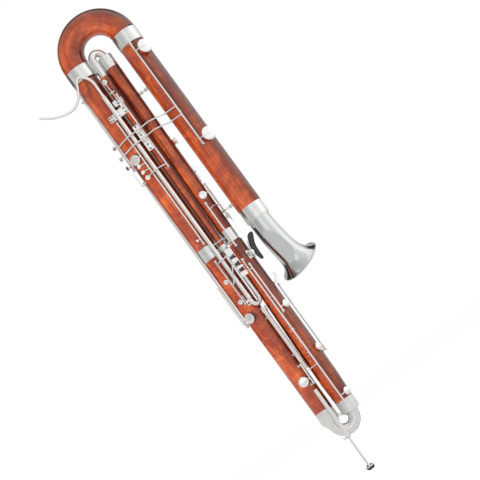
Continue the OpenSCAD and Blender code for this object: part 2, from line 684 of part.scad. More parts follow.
module bell_joint() {
    collar_r = bend_ferrule_bore / 2 - seat / 2;
    inner_r = bell_ferrule_d / 2 - ferrule_wall - seat / 2;
    ferrule_top = bell_ferrule_low_z + bell_ferrule_h;
    color(maple) on_bell_joint() turned(
        [[bell_joint_low_z, inner_r], [ferrule_top, inner_r], [ferrule_top, bell_joint_d / 2],
            [bell_side_ferrule_low_z, bell_joint_d / 2], [bell_side_ferrule_low_z, collar_r],
            [bell_joint_top_z, collar_r]],
        [[bell_joint_low_z, bell_joint_bore / 2 + 1], [bell_joint_top_z, bell_joint_bore / 2]]);
}

module bell_ferrule() {
    color(silver) on_bell_joint()
        tube(bell_ferrule_low_z, bell_ferrule_low_z + bell_ferrule_h, bell_ferrule_d,
            bell_ferrule_d - 2 * ferrule_wall);
}

// Tenon ring of the bell, which slides in the bell ferrule, with its two stop lugs
bell_tenon_r = bell_ferrule_d / 2 - ferrule_wall - fit;
module bell_tenon() {
    z = bell_ferrule_low_z - seat;
    color(silver) on_bell_joint() {
        turned([[z - 3, bell_ferrule_d / 2 - 0.4], [z, bell_ferrule_d / 2 - 0.4], [z, bell_tenon_r],
            [z + bell_pull + 4, bell_tenon_r]],
            [[z - 3, bell_tenon_r - tenon_wall], [z + bell_pull + 4, bell_tenon_r - tenon_wall]]);
        for (s = [-1, 1]) translate([s * (bell_ferrule_d / 2 - 1.4), 0, z - 3]) rotate([90, 0, 0])
            cylinder(d = 3.6, h = 3, center = true);
    }
}

// Bell: rings along an axis that bends to the right and back, closed round the wired rim
bell_top_z = bell_ferrule_low_z - seat - 3;
bell_steps = 16;
bell_plane = [cos(bell_bend_turn), sin(bell_bend_turn), 0];
function bell_tilt(t) = bell_bend * t;
function bell_centre(t) = let (w = bell_bend * PI / 180, l = bell_length)
    [bell_x, ty, bell_top_z] + bell_plane * (t == 0 ? 0 : l * (1 - cos(bell_bend * t)) / w)
        - [0, 0, 1] * (l * sin(bell_bend * t) / w);
function bell_r(t) = bell_top_d / 2 + bell_cone * t + bell_flare * pow(t, 10);
function bell_ring(t, r, drop = 0) =
    let (u = [-sin(bell_bend_turn), cos(bell_bend_turn), 0],
        v = bell_plane * cos(bell_tilt(t)) + [0, 0, sin(bell_tilt(t))],
        axis = bell_plane * sin(bell_tilt(t)) - [0, 0, cos(bell_tilt(t))])
    [for (j = [0:bell_sides - 1]) bell_centre(t) + axis * drop
        + r * (u * cos(360 * j / bell_sides) + v * sin(360 * j / bell_sides))];
bell_sides = 48;
module bell() {
    stations = [for (i = [0:bell_steps]) 1 - pow(1 - i / bell_steps, 1.5)];
    mouth = bell_r(1) - bell_rim_d / 2;
    color(silver) skin(concat(
        [for (t = stations) if (t < 0.985) bell_ring(t, bell_r(t))],
        [for (a = [-60:40:220]) bell_ring(1, mouth + bell_rim_d / 2 * cos(a), bell_rim_d / 2 * sin(a))],
        [for (i = [bell_steps:-1:0]) if (stations[i] < 0.985) bell_ring(stations[i],
            bell_r(stations[i]) - bell_wall)]));
}

// Endpin

module endpin_tube() {
    bore = endpin_d + 2 * fit;
    color(silver) difference() {
        union() {
            translate([0, 0, collar_z]) cylinder(d1 = endpin_tube_d + 1.5, d2 = endpin_tube_d + 4,
                h = collar_h);
            translate([0, 0, collar_z + collar_h])
                cylinder(d = endpin_tube_d, h = endpin_tube_top_z - collar_z - collar_h);
            translate([-3, endpin_tube_d / 2 - 1, bow_left_z + 4]) cube([6, endpin_gap + 1, 18]);
            translate([-4, endpin_tube_d / 2 - 1.5, collar_z + collar_h]) cube([5, bow_gap, 9]);
            translate([screw_side * (endpin_tube_d / 2 + 1), 0, screw_z]) rotate([0, screw_side * 90, 0])
                cylinder(d = 7, h = 3);
        }
        translate([0, 0, collar_z - 1]) cylinder(d = bore, h = endpin_tube_top_z - collar_z - 2);
        translate([long_x, ty, 0]) cylinder(r = bow_socket_r + seat / 2, h = 400);
        translate([0, 0, screw_z]) rotate([0, screw_side * 90, 0]) cylinder(d = 4 + 2 * fit, h = 30);
    }
}
endpin_gap = ty - bow_socket_r + 6 - endpin_tube_d / 2;
bow_gap = ty - bow_d / 2 - endpin_tube_d / 2 + 1.5 - seat / 2;
screw_side = -1;
screw_z = collar_z + 5;

// Thumbscrew that locks the endpin
module endpin_screw() {
    x0 = endpin_d / 2 + seat;
    color(silver) translate([0, 0, screw_z]) rotate([0, screw_side * 90, 0]) {
        translate([0, 0, x0]) cylinder(d = 4, h = 9);
        difference() {
            translate([0, 0, endpin_tube_d / 2 + 4 + seat + 0.3]) cylinder(d = 9, h = 5);
            for (a = [0:30:330]) rotate([0, 0, a]) translate([4.9, 0, 0]) cylinder(d = 1.2, h = 30, $fn = 16);
        }
    }
}

module endpin() {
    color(silver) {
        translate([0, 0, foot_h + 3]) cylinder(d = endpin_d, h = endpin_length - foot_h - 3);
        translate([0, 0, foot_h + seat / 2]) turned(
            [[0, foot_d / 2], [3, foot_d / 2], [5.5, foot_d / 2 - 5], [9, endpin_d / 2 - 0.2]],
            [[0, 0], [9, 0]]);
        translate([0, 0, 3]) cylinder(d = 7, h = 9);
    }
}

module endpin_tip() {
    color(black) difference() {
        turned([[0, foot_d / 2 - 6], [1.2, foot_d / 2 - 3.5], [3.6, foot_d / 2 - 1.4],
            [foot_h, foot_d / 2 - 0.6]],
            [[0, 0], [foot_h, 0]]);
        translate([0, 0, 2.85]) cylinder(d = 7.2, h = 20);
    }
}

// Braces and brackets

module ferrule_brace() {
    z = long_split_z + 7;
    a = around(long_x, mid_ring_r + 1.8, 12);
    color(silver) {
        facing(long_x, 12, z) translate([-6, -7, mid_ring_r + seat / 2]) cube([12, 14, 2.6]);
        facing(long_x, 12, z) for (y = [-4, 4]) translate([-1, y, mid_ring_r + 2]) cylinder(d = 3.4, h = 1.6);
        run([at(a, z), [lead_x - 1, ty - 29.3, z], [first_low_x - 4, first_y - first_r(z) - 2.4, z],
            [first_x(z) + 8, first_y - first_r(z) - 0.4, z], [first_x(z) + first_r(z) + 3.2, first_y - 5, z],
            at(around(mid_x(z), mid_d / 2 + 2.2, -58), z)], 3);
        facing(mid_x(z), -58, z) translate([0, 0, mid_d / 2 + seat / 2]) cylinder(d = 8, h = 2.4);
        difference() {
            translate([lead_x - 3, lead_y, z - 2.5]) cube([6, lead_forward - 29, 5]);
            translate([lead_x, lead_y, z - 9]) cylinder(d = lead_d + seat, h = 18);
        }
    }
}

// Turned struts from the middle joint across to the bell joint
module bell_braces() {
    color(silver) for (z = [upper_brace_z, lower_brace_z]) {
        x0 = mid_x(z) + mid_d / 2 + seat;
        x1 = bell_x - bell_joint_d / 2 - seat / 2;
        translate([x0, ty + (z == lower_brace_z ? 5.5 : 0), z]) rotate([0, 90, 0]) turned(
            [[0, 5], [1.4, 5], [1.6, 2.8], [4, 2.4], [4.4, 4.2], [5.6, 5], [7.4, 5], [8.6, 4.2], [9, 2.4],
                [x1 - x0 - 9, 2.4], [x1 - x0 - 8.6, 4.2], [x1 - x0 - 7.4, 5], [x1 - x0 - 5.6, 5],
                [x1 - x0 - 4.4, 4.2], [x1 - x0 - 4, 2.8], [x1 - x0 - 1.6, 2.8], [x1 - x0 - 1.4, 6],
                    [x1 - x0, 6]],
            [[0, 0], [x1 - x0, 0]]);
    }
}
upper_brace_z = 1082;
lower_brace_z = 718;

// Plates that hold the leadpipe, with a ring round it
clamp_z = 1064;
module leadpipe_clamp() {
    y0 = ty - long_r(clamp_z) - 2.4 - seat;
    x0 = long_x - 9;
    color(silver) {
        for (x = [long_x - 5.5, long_x + 0.5]) for (z = [clamp_z - 5, clamp_z + 3])
            screw(x, y0, z, foremost(long_x, ty, long_r(z), x, 1.3));
        for (x = [first_x(clamp_z) - 5, first_x(clamp_z) + 1]) for (z = [clamp_z - 5, clamp_z + 6])
            screw(x, y0, z, foremost(first_x(z), first_y, first_r(z), x, 1.3));
        for (x = [first_x(clamp_z) - 7, first_x(clamp_z) + 3]) for (z = [clamp_z + 23, clamp_z + 30])
            screw(x, y0, z, foremost(first_x(z), first_y, first_r(z), x, 1.3));
        difference() {
            union() {
                translate([x0, y0, clamp_z - 9]) cube([lead_x - x0 - 4, 2, 16]);
                translate([lead_x + 4, y0, clamp_z - 9]) cube([first_x(clamp_z) + 3 - lead_x - 4, 2, 20]);
                translate([first_x(clamp_z) - 19, y0, clamp_z + 19]) cube([26, 2, 15]);
                translate([first_x(clamp_z) - 7, y0, clamp_z - 5]) cube([6, 2, 26]);
                translate([lead_x, lead_y, clamp_z - 6]) cylinder(d = lead_d + 5, h = 14);
            }
            translate([lead_x, lead_y, clamp_z - 30]) cylinder(d = lead_d + seat, h = 80);
        }
    }
}

// Screw through a plate whose front is at y0, down to a joint's surface at y1
module screw(x, y0, z, y1) {
    translate([x, y0 - 1, z]) rotate([-90, 0, 0]) cylinder(d = 4.4, h = 1.6, $fn = 32);
    translate([x, y0 + 0.2, z]) rotate([-90, 0, 0]) cylinder(d = 2.6, h = y1 - y0 - seat / 2 - 0.2, $fn = 32);
}

// Saddle on the first joint that carries the two crossing levers
saddle_x = 21;
saddle_z = 980;
lever_zs = [saddle_z + 20, saddle_z - 5];
lever_pivot = [saddle_x, first_y - 27.5];
module lever_saddle() {
    y0 = first_y - first_r(saddle_z + 37) - 2.6;
    color(silver) difference() {
        union() {
            translate([saddle_x - 7.5, y0, saddle_z - 37]) cube([14.5, 2.2, 74]);
            for (z = lever_zs) for (s = [-1, 1])
                translate([saddle_x - 3, lever_pivot[1] - 3, z + s * (lever_hub_h / 2 + seat + 1.3) - 1.3])
                    cube([6, y0 - lever_pivot[1] + 4, 2.6]);
        }
        for (z = lever_zs) translate([lever_pivot[0], lever_pivot[1], z - 9])
            cylinder(d = pivot_d + 2 * fit, h = 18);
    }
    color(silver) for (z = [saddle_z - 33, saddle_z - 20, saddle_z + 8, saddle_z + 33])
        screw(saddle_x, y0, z, foremost(first_x(z), first_y, first_r(z), saddle_x, 1.3));
}
lever_hub_h = 7;

// Crossing levers to the bell keys

module bell_lever(z, knob_dx, knob_dz) {
    y1 = lever_pivot[1] - 4;
    pin_reach = lever_hub_h / 2 + seat + 2.2;
    color(silver) {
        translate(at(lever_pivot, z - lever_hub_h / 2)) cylinder(d = 7, h = lever_hub_h);
        translate(at(lever_pivot, z - pin_reach)) cylinder(d = pivot_d, h = 2 * pin_reach);
        run([[long_x - 40 + knob_dx, ty - 28, z + knob_dz], [long_x - 34, ty - 36, z - 4],
            [long_x - 24, ty - 44, z - 5],
            [long_x + 3, y1, z], [saddle_x, y1, z - 0.5], [mid_x(z) - 2, y1 + 2, z + 2],
            [mid_x(z) + 20, y1 + 5, z - 1], [lever_end_x, lever_tip_y, z - 5]], 3.6);
        translate([long_x - 40 + knob_dx, ty - 28, z + knob_dz]) rotate([0, 90, 40])
            cylinder(d = 10, h = 3.4, center = true);
        translate([lever_end_x, lever_tip_y, z - 7.5]) cylinder(d = 5, h = 5);
    }
}
bell_hinge = around(bell_x, bell_joint_d / 2 + hinge_rise - 1, -4);
lever_end_x = bell_hinge[0] - 31;
lever_tip_y = bell_hinge[1] - 0.6 + arm_d / 2 + seat + 2.5;
module bell_lever_upper() { bell_lever(lever_zs[0], 0, 0); }
module bell_lever_lower() { bell_lever(lever_zs[1], -2, -7); }

// Bell keys: cup, hinge tube and the arm that the lever's tip lifts
bell_cup_angle = 36;
module bell_key(cup_z, z0, z1, arm_z) {
    color(silver) {
        hinge(bell_hinge, z0, z1);
        run([at(bell_hinge, arm_z), at([bell_hinge[0] - 33, bell_hinge[1] - 0.6], arm_z)], arm_d);
        swing(bell_hinge, -bell_key_open) {
            cup(bell_x, bell_joint_d / 2, bell_cup_angle, cup_z, bell_cup_d);
            run([at(bell_hinge, cup_z), at(around(bell_x, bell_joint_d / 2 + 12.5, 10), cup_z),
                cup_top(bell_x, bell_joint_d / 2, bell_cup_angle, cup_z)], arm_d + 0.6);
        }
    }
}
bell_cup_zs = [1166, 892];
bell_post_zs = [1190, 978, 879];
module bell_key_upper() { bell_key(bell_cup_zs[0], bell_post_zs[1], bell_post_zs[0], lever_zs[0] - 5); }
module bell_key_lower() { bell_key(bell_cup_zs[1], bell_post_zs[2], bell_post_zs[1], lever_zs[1] - 5); }

// Octave key: touch at the left, long hinge tube on the first joint, crank at its top
octave_hinge = [first_x(980) + 3, first_y - first_r(1040) - hinge_rise - 2.6];
octave_post_zs = [884, 1106];
octave_cup_z = 1150;
octave_cup_angle = -20;
rocker_z = 1118;
octave_x = 24.5;
rocker_y = first_y - first_r(rocker_z) - 5;
rocker_reach = 3.4;
octave_crank = [octave_x, rocker_y - 1.3 - seat - 1.5];
crank_z = 1099;
module octave_key() {
    h = octave_hinge;
    color(silver) {
        hinge(h, octave_post_zs[0], octave_post_zs[1]);
        run([at(h, 892), [lead_x + 10, lead_y - lead_d / 2 - 4, 893], [long_x + 4, ty - 48, 893],
            [long_x - 10, ty - 45, 890]], arm_d);
        translate([long_x - 14, ty - 45, 889]) rotate([90, 0, 0]) cylinder(d = touch_d, h = 3, center = true);
        run([at(h, crank_z), at(octave_crank, crank_z)], 2.6);
        translate(at(octave_crank, crank_z - 2.5)) cylinder(d = 3, h = 5);
    }
}

// Rocker that lifts the octave cup when the crank pushes its tail
module octave_cup() {
    x = first_x(octave_cup_z);
    r = first_r(octave_cup_z);
    top = cup_top(x, r, octave_cup_angle, octave_cup_z, first_y);
    color(silver) {
        translate([octave_x - rocker_reach, rocker_y, rocker_z]) rotate([0, 90, 0])
            cylinder(d = 4.4, h = 2 * rocker_reach);
        translate([octave_x - rocker_reach - 2.6, rocker_y, rocker_z]) rotate([0, 90, 0])
            cylinder(d = 2, h = 2 * rocker_reach + 5.2);
        run([[octave_x, rocker_y, crank_z], [octave_x, rocker_y, rocker_z],
            [top[0], top[1], rocker_z + 12], top], 2.6);
        cup(x, r, octave_cup_angle, octave_cup_z, 14, first_y);
    }
}

// Left-hand finger keys on one hinge line in front of the long joint
finger_hinge = around(long_x, long_r(1050) + hinge_rise - 0.5, 4);
finger_post_zs = [677, 915, 1046];
finger_cup_z = 945;
finger_cup_angle = -24;
module finger_touch(x, z) {
    translate([x, ty - 43, z]) rotate([90, 0, 0]) cylinder(d1 = touch_d, d2 = touch_d - 3, h = 3);
}
module finger_key_one() {
    h = finger_hinge;
    r = long_r(finger_cup_z);
    color(silver) swing(h, key_open) {
        hinge(h, finger_post_zs[1], finger_post_zs[2]);
        cup(long_x, r, finger_cup_angle, finger_cup_z, large_cup_d);
        run([at(h, finger_cup_z), at(around(long_x, r + ring_h + pad_out + 6.4, -7), finger_cup_z),
            cup_top(long_x, r, finger_cup_angle, finger_cup_z)], arm_d + 0.4);
        run([at(h, 924), [long_x - 8, ty - 43, 924], [long_x - 16, ty - 44, 924]], arm_d);
        finger_touch(long_x - 17, 924);
    }
}
module finger_key_two() {
    h = finger_hinge;
    color(silver) {
        hinge(h, finger_post_zs[0], finger_post_zs[1]);
        run([at(h, 907), [long_x - 7, ty - 43, 907], [long_x - 15, ty - 44, 907]], arm_d);
        finger_touch(long_x - 16, 907);
        run([at(h, 691), [h[0] - 8, h[1] + 0.6, 691]], arm_d);
        translate([h[0] - 9, h[1] + 2.2, 691]) rotate([90, 0, 0]) cylinder(d = 6, h = 3.4);
    }
}

// Left thumb keys, hinged along the left side of the long joint
thumb_cup_z = 1150;
thumb_touch_z = 942;
thumb_hinge = around(long_x, long_r(thumb_cup_z + 20) + 4.2, -70);
low_thumb_hinge = around(long_x, long_r(900) + 4.6, -66);
thumb_post_zs = [930, 1172];
low_thumb_post_zs = [450, 889];
back_cup_angle = -116;
module thumb_key_upper() {
    h = thumb_hinge;
    r = long_r(thumb_cup_z);
    color(silver) {
        hinge(h, thumb_post_zs[0], thumb_post_zs[1]);
        cup(long_x, r, back_cup_angle, thumb_cup_z, 18);
        run([at(h, thumb_cup_z), at(around(long_x, r + 9.5, -93), thumb_cup_z),
            cup_top(long_x, r, back_cup_angle, thumb_cup_z)], arm_d);
        run([at(h, thumb_touch_z - 2), [h[0] - 5, h[1] - 7, thumb_touch_z - 1],
            [h[0] - 8, h[1] - 9, thumb_touch_z]], arm_d);
        translate([h[0] - 9, h[1] - 9, thumb_touch_z]) rotate([0, 90, 30])
            cylinder(d = 11, h = 3, center = true);
    }
}
module thumb_key_lower() {
    h = low_thumb_hinge;
    r = long_r(low_thumb_cup_z);
    color(silver) {
        hinge(h, low_thumb_post_zs[0], low_thumb_post_zs[1]);
        swing(h, -key_open) {
            cup(long_x, r, -22, low_thumb_cup_z, large_cup_d);
            run([at(h, low_thumb_cup_z), at(around(long_x, r + 9, -50), low_thumb_cup_z),
                cup_top(long_x, r, -22, low_thumb_cup_z)], arm_d + 0.4);
        }
        run([at(h, 881), [h[0] - 8, h[1] - 5, 886]], arm_d);
        translate([h[0] - 9.5, h[1] - 12, 884]) cube([2.6, 13, 40]);
        for (z = [460, 510, 560]) run([at(h, z), [h[0] - 4.4, h[1], z]], 2.6);
        translate([h[0] - 4.6, h[1], 456]) cylinder(d = 2.8, h = 116);
    }
}
low_thumb_cup_z = 463;

// Right-hand little-finger keys: four touches with three rollers between them
plate_x = 18.4;
plate_y = ty - 47;
plate_t = 2;
plate_zs = [[613, 630.5], [592.5, 602], [574.5, 580.5], [552.5, 564.5]];
roller_zs = [607.3, 586.8, 569.7];
low_left_hinge = around(long_x, long_r(660) + hinge_rise, -1.5);
little_post_zs = [498, 559, 624];
right_hinge_a = [41.4, ty - mid_belly_d / 2 - hinge_rise];
right_hinge_b = [50.4, ty - mid_belly_d / 2 - hinge_rise];
right_post_zs = [166, 381, 590];
right_b_post_zs = [430, 571];

// Touch plate with lugs that hold the roller below it, when it has one
module touch_plate(i) {
    z0 = plate_zs[i][0];
    z1 = plate_zs[i][1];
    translate([plate_x, plate_y - plate_t, z0]) cube([plate_w, plate_t, z1 - z0]);
    if (i < 3) {
        rz = roller_zs[i];
        for (x = [plate_x, plate_x + plate_w - 1.6]) {
            translate([x, plate_y - plate_t, rz - 1.6]) cube([1.6, plate_t + 1.8, z0 - rz + 2.2]);
        }
        translate([plate_x + 1, plate_y, rz]) rotate([0, 90, 0]) cylinder(d = 1.6, h = plate_w - 2);
    }
}
module roller(i) {
    color(black) translate([plate_x + 1.6 + seat, plate_y, roller_zs[i]]) rotate([0, 90, 0]) difference() {
        union() {
            cylinder(d = roller_d - 1, h = plate_w - 3.2 - 2 * seat);
            translate([0, 0, 1]) cylinder(d = roller_d, h = plate_w - 5.2 - 2 * seat);
        }
        translate([0, 0, -1]) cylinder(d = 1.6 + 2 * fit, h = plate_w);
    }
}
module roller_one() { roller(0); }
module roller_two() { roller(1); }
module roller_three() { roller(2); }

// Key that crosses the leadpipe from its hinge on the long joint to its touch
module crossing_key(i, root_z, arm_z, z0, z1, cup_z) {
    h = low_left_hinge;
    front_y = lead_y - lead_d / 2 - 4.6;
    color(silver) {
        hinge(h, z0, z1);
        run([at(h, root_z), [h[0] + 5.6, front_y + 0.2, root_z + 1.4], [plate_x - 2, front_y, arm_z],
            [plate_x + 1.4, plate_y - 0.6, arm_z]], arm_d);
        touch_plate(i);
        cup(long_x, long_r(cup_z), little_cup_angle, cup_z, 12);
        run([at(h, cup_z), cup_top(long_x, long_r(cup_z), little_cup_angle, cup_z)], arm_d);
    }
}
little_cup_angle = -16;
little_cup_zs = [568, 508];
module little_key_one() {
    z = plate_zs[0][0] + 4;
    crossing_key(0, z - 3, z + 1, little_post_zs[1], little_post_zs[2], little_cup_zs[0]);
}
module little_key_two() {
    crossing_key(1, little_post_zs[1] - 8, plate_zs[1][0] + 2, little_post_zs[0], little_post_zs[1],
        little_cup_zs[1]);
}

low_cup_z = 185;
module little_key_three() {
    h = right_hinge_a;
    r = mid_r(low_cup_z);
    z = plate_zs[2][0] + 3;
    color(silver) {
        hinge(h, right_post_zs[0], right_post_zs[1]);
        hinge(h, right_post_zs[1], right_post_zs[2]);
        translate(at(h, right_post_zs[1] - 6)) cylinder(d = pivot_d, h = 12);
        run([at(h, link_arm_z), [h[0] - 3.4, h[1] - 5, link_arm_z], [link_end_x, h[1] - 5, link_arm_z]], 2.4);
        run([at(h, z), [plate_x + plate_w + 1, plate_y + 1.2, z],
            [plate_x + plate_w - 1, plate_y - 0.8, z]], arm_d - 0.4);
        touch_plate(2);
        cup(mid_x(low_cup_z), r, 38, low_cup_z, small_cup_d);
        run([at(h, low_cup_z), cup_top(mid_x(low_cup_z), r, 38, low_cup_z)], arm_d);
    }
}
fourth_cup_z = 442;
module little_key_four() {
    h = right_hinge_b;
    r = mid_r(fourth_cup_z);
    z = plate_zs[3][0] + 6;
    color(silver) {
        hinge(h, right_b_post_zs[0], right_b_post_zs[1]);
        run([at(h, z), [right_hinge_a[0], right_hinge_a[1] - tube_d - 2, z],
            [plate_x + plate_w + 1, plate_y + 1.2, z],
            [plate_x + plate_w - 1, plate_y - 0.8, z]], arm_d - 0.4);
        touch_plate(3);
        cup(mid_x(fourth_cup_z), r, 40, fourth_cup_z, small_cup_d);
        run([at(h, fourth_cup_z), cup_top(mid_x(fourth_cup_z), r, 40, fourth_cup_z)], arm_d);
    }
}

// Link key on the long joint: the third little-finger key pushes its arm and opens its cup
link_hinge = [7.2, ty - 31];
link_post_zs = [247, 300];
link_cup_z = 262;
link_arm_z = 279;
link_end_x = right_hinge_a[0] - 12.4;
link_arm_y = right_hinge_a[1] - 5 + 1.2 + seat + 1.3;
module link_key() {
    h = link_hinge;
    r = long_r(link_cup_z);
    color(silver) {
        hinge(h, link_post_zs[0], link_post_zs[1]);
        cup(long_x, r, 3, link_cup_z, large_cup_d - 1);
        run([at(h, link_cup_z), cup_top(long_x, r, 3, link_cup_z)], arm_d);
        run([at(h, link_arm_z), [h[0] + 6, link_arm_y, link_arm_z],
            [link_end_x + 4, link_arm_y, link_arm_z]], 2.6);
    }
}

// Right thumb key down the right side of the middle joint
right_thumb_hinge = around(mid_x(500), mid_belly_d / 2 + 4.6, 92);
right_thumb_post_zs = [296, 500];
right_thumb_cup_z = 311;
module right_thumb_key() {
    h = right_thumb_hinge;
    r = mid_r(right_thumb_cup_z);
    x = mid_x(right_thumb_cup_z);
    color(silver) {
        hinge(h, right_thumb_post_zs[0], right_thumb_post_zs[1]);
        cup(x, r, 52, right_thumb_cup_z, small_cup_d + 2);
        run([at(h, right_thumb_cup_z), at(around(x, r + 9.5, 72), right_thumb_cup_z),
            cup_top(x, r, 52, right_thumb_cup_z)], arm_d);
        run([at(h, 488), [h[0] + 2, h[1] - 7.6, 492], [h[0] + 3, h[1] - 8.4, 500]], arm_d);
        translate([h[0] - 4.4, h[1] - 10, 493]) cube([9, 2.2, 14]);
        run([[h[0] + 3, h[1] - 8.9, 504], [h[0] + 6, h[1] - 8.9, 513]], 2);
        translate([h[0] + 3, h[1] - 10, 510]) cube([7.6, 2.2, 13]);
    }
}

// Side key on the upper middle joint, with its long touch beside the joint
side_hinge = around(mid_x(700), mid_d / 2 + 6.4, 86);
side_post_zs = [700, 800];
side_cup_z = 777;
side_touch_z = 650;
module side_key() {
    h = side_hinge;
    r = mid_d / 2;
    x = mid_x(side_cup_z);
    color(silver) {
        hinge(h, side_post_zs[0], side_post_zs[1]);
        cup(x, r, 10, side_cup_z, small_cup_d);
        run([at(h, side_cup_z), at(around(x, r + 9.5, 50), side_cup_z), cup_top(x, r, 10, side_cup_z)],
            arm_d);
        run([at(h, 712), [h[0] + 3.4, h[1] + 5, 706], [h[0] + 3.4, h[1] + 6, 686]], arm_d);
        translate([h[0] + 2.4, h[1] + 0.5, side_touch_z]) cube([2, 12, 40]);
        run([at(h, transfer_arm_z), [h[0] + 0.4, h[1] - 21, transfer_arm_z]], 2.6);
    }
}

// Transfer key: one arm reaches the side key, the other the little-finger keys
transfer_hinge = [50, ty - mid_neck_d / 2 - hinge_rise - 1];
transfer_post_zs = [628, 756];
transfer_arm_z = 737;
module transfer_key() {
    h = transfer_hinge;
    color(silver) {
        hinge(h, transfer_post_zs[0], transfer_post_zs[1]);
        run([at(h, transfer_arm_z), [h[0] + 13, h[1] - 1.5, transfer_arm_z + 3],
            [side_hinge[0] - 3.4, side_hinge[1] - 14, transfer_arm_z]], 2.6);
        translate([side_hinge[0] - 3.2, side_hinge[1] - 14, transfer_arm_z - 2.2]) cylinder(d = 3.8, h = 4.4);
        run([at(h, 636), [plate_x + plate_w, h[1] - 3.6, 636]], arm_d - 0.4);
        translate([plate_x + plate_w - 4, h[1] - 5.4, 632.6]) cube([6.6, 3.4, 7]);
    }
}

// Back key on the upper middle joint, facing right
back_post_zs = [816, 952];
back_key_z = 932;
back_hinge_angle = 132;
back_hinge = around(mid_x((back_post_zs[0] + back_post_zs[1]) / 2), mid_d / 2 + 5.4, back_hinge_angle);
module back_key() {
    h = back_hinge;
    x = mid_x(back_key_z);
    color(silver) {
        hinge(h, back_post_zs[0], back_post_zs[1]);
        swing(h, key_open) {
            cup(x, mid_d / 2, 88, back_key_z, 18);
            run([at(h, back_key_z), at(around(x, mid_d / 2 + ring_h + 6.2, 108), back_key_z),
                cup_top(x, mid_d / 2, 88, back_key_z)], arm_d);
        }
        run([at(h, 842), [h[0] + 5.6, h[1] - 7, 842]], arm_d);
        translate([h[0] + 4.8, h[1] - 15, 824]) cube([2, 12, 36]);
    }
}

// Posts, and the guide plate that steadies the long right-hand tube

module key_posts() {
    color(silver) {
        for (z = bell_post_zs) post(bell_x, ty, bell_joint_d / 2, bell_hinge, z);
        for (z = octave_post_zs) post(first_x(z), first_y, first_r(z), octave_hinge, z);
        rocker_posts();
        for (z = finger_post_zs) post(long_x, ty, long_r(z), finger_hinge, z);
        for (z = thumb_post_zs) post(long_x, ty, long_r(z), thumb_hinge, z);
        for (z = low_thumb_post_zs) post(long_x, ty, long_r(z), low_thumb_hinge, z);
        for (z = little_post_zs) post(long_x, ty, long_r(z), low_left_hinge, z);
        for (z = right_post_zs) post(mid_x(z), ty, z < mid_foot_z ? bow_socket_r : mid_r(z),
            right_hinge_a, z);
        for (z = right_b_post_zs) post(mid_x(z), ty, mid_r(z), right_hinge_b, z);
        for (z = link_post_zs) post(long_x, ty, long_r(z), link_hinge, z);
        for (z = right_thumb_post_zs) post(mid_x(z), ty, mid_r(z), right_thumb_hinge, z);
        for (z = side_post_zs) post(mid_x(z), ty, mid_d / 2, side_hinge, z);
        for (z = transfer_post_zs) post(mid_x(z), ty, mid_r(z), transfer_hinge, z);
        for (z = back_post_zs) post(mid_x(z), ty, mid_d / 2, back_hinge, z);
    }
}

// Two ears on the first joint that hold the octave rocker
module rocker_posts() {
    for (s = [-1, 1]) {
        x = octave_x + s * (rocker_reach + seat + 1.3);
        y1 = foremost(first_x(rocker_z), first_y, first_r(rocker_z), x, 1.3) - seat / 2;
        difference() {
            union() {
                translate([x - 1.3, rocker_y, rocker_z - 2]) cube([2.6, y1 - rocker_y, 4]);
                translate([x - 1.3, rocker_y, rocker_z]) rotate([0, 90, 0]) cylinder(d = 5, h = 2.6);
            }
            translate([x - 3, rocker_y, rocker_z]) rotate([0, 90, 0]) cylinder(d = 2 + 2 * fit, h = 6);
        }
    }
}

// Growth of the middle joint across a ring, with its lean
function mid_grow(z) = max(mid_r(z - small_cup_d / 2), mid_r(z + small_cup_d / 2)) - mid_r(z)
    + small_cup_d / 2 * tan(mid_lean);
module tone_hole_rings() {
    color(maple) {
        for (z = little_cup_zs) ring(long_x, ty, long_r(z), little_cup_angle, z, 12);
        ring(first_x(octave_cup_z), first_y, first_r(octave_cup_z), octave_cup_angle, octave_cup_z, 14);
        for (z = bell_cup_zs) ring(bell_x, ty, bell_joint_d / 2, bell_cup_angle, z, bell_cup_d);
        ring(long_x, ty, long_r(finger_cup_z), finger_cup_angle, finger_cup_z, large_cup_d);
        ring(long_x, ty, long_r(low_thumb_cup_z), -22, low_thumb_cup_z, large_cup_d);
        ring(long_x, ty, long_r(link_cup_z), 3, link_cup_z, large_cup_d - 1);
        ring(long_x, ty, long_r(thumb_cup_z), back_cup_angle, thumb_cup_z, 18);
        ring(mid_x(low_cup_z), ty, mid_r(low_cup_z), 38, low_cup_z, small_cup_d, mid_grow(low_cup_z));
        ring(mid_x(fourth_cup_z), ty, mid_r(fourth_cup_z), 40, fourth_cup_z, small_cup_d,
            mid_grow(fourth_cup_z));
        ring(mid_x(right_thumb_cup_z), ty, mid_r(right_thumb_cup_z), 52, right_thumb_cup_z, small_cup_d + 2,
            mid_grow(right_thumb_cup_z));
        ring(mid_x(side_cup_z), ty, mid_d / 2, 10, side_cup_z, small_cup_d);
        ring(mid_x(back_key_z), ty, mid_d / 2, 88, back_key_z, 18);
    }
}

// Hand rest

block_z = 592;
block_angle = 42;
block_r = mid_r(block_z) + seat / 2;
stem_r = block_r + 6.5;
module hand_rest_block() {
    color(silver) facing(mid_x(block_z), block_angle, block_z) difference() {
        union() {
            translate([-8, -11, block_r]) cube([16, 22, 1.6]);
            translate([-7, -6, block_r]) cube([14, 12, 11.5]);
        }
        translate([-30, 0, stem_r]) rotate([0, 90, 0]) cylinder(d = stem_d + 2 * fit, h = 60);
        translate([0, 0, stem_r]) cylinder(d = 4 + 2 * fit, h = 30);
        for (y = [-8.6, 8.6]) translate([0, y, block_r - 1]) cylinder(d = 2.4, h = 4, $fn = 24);
    }
}

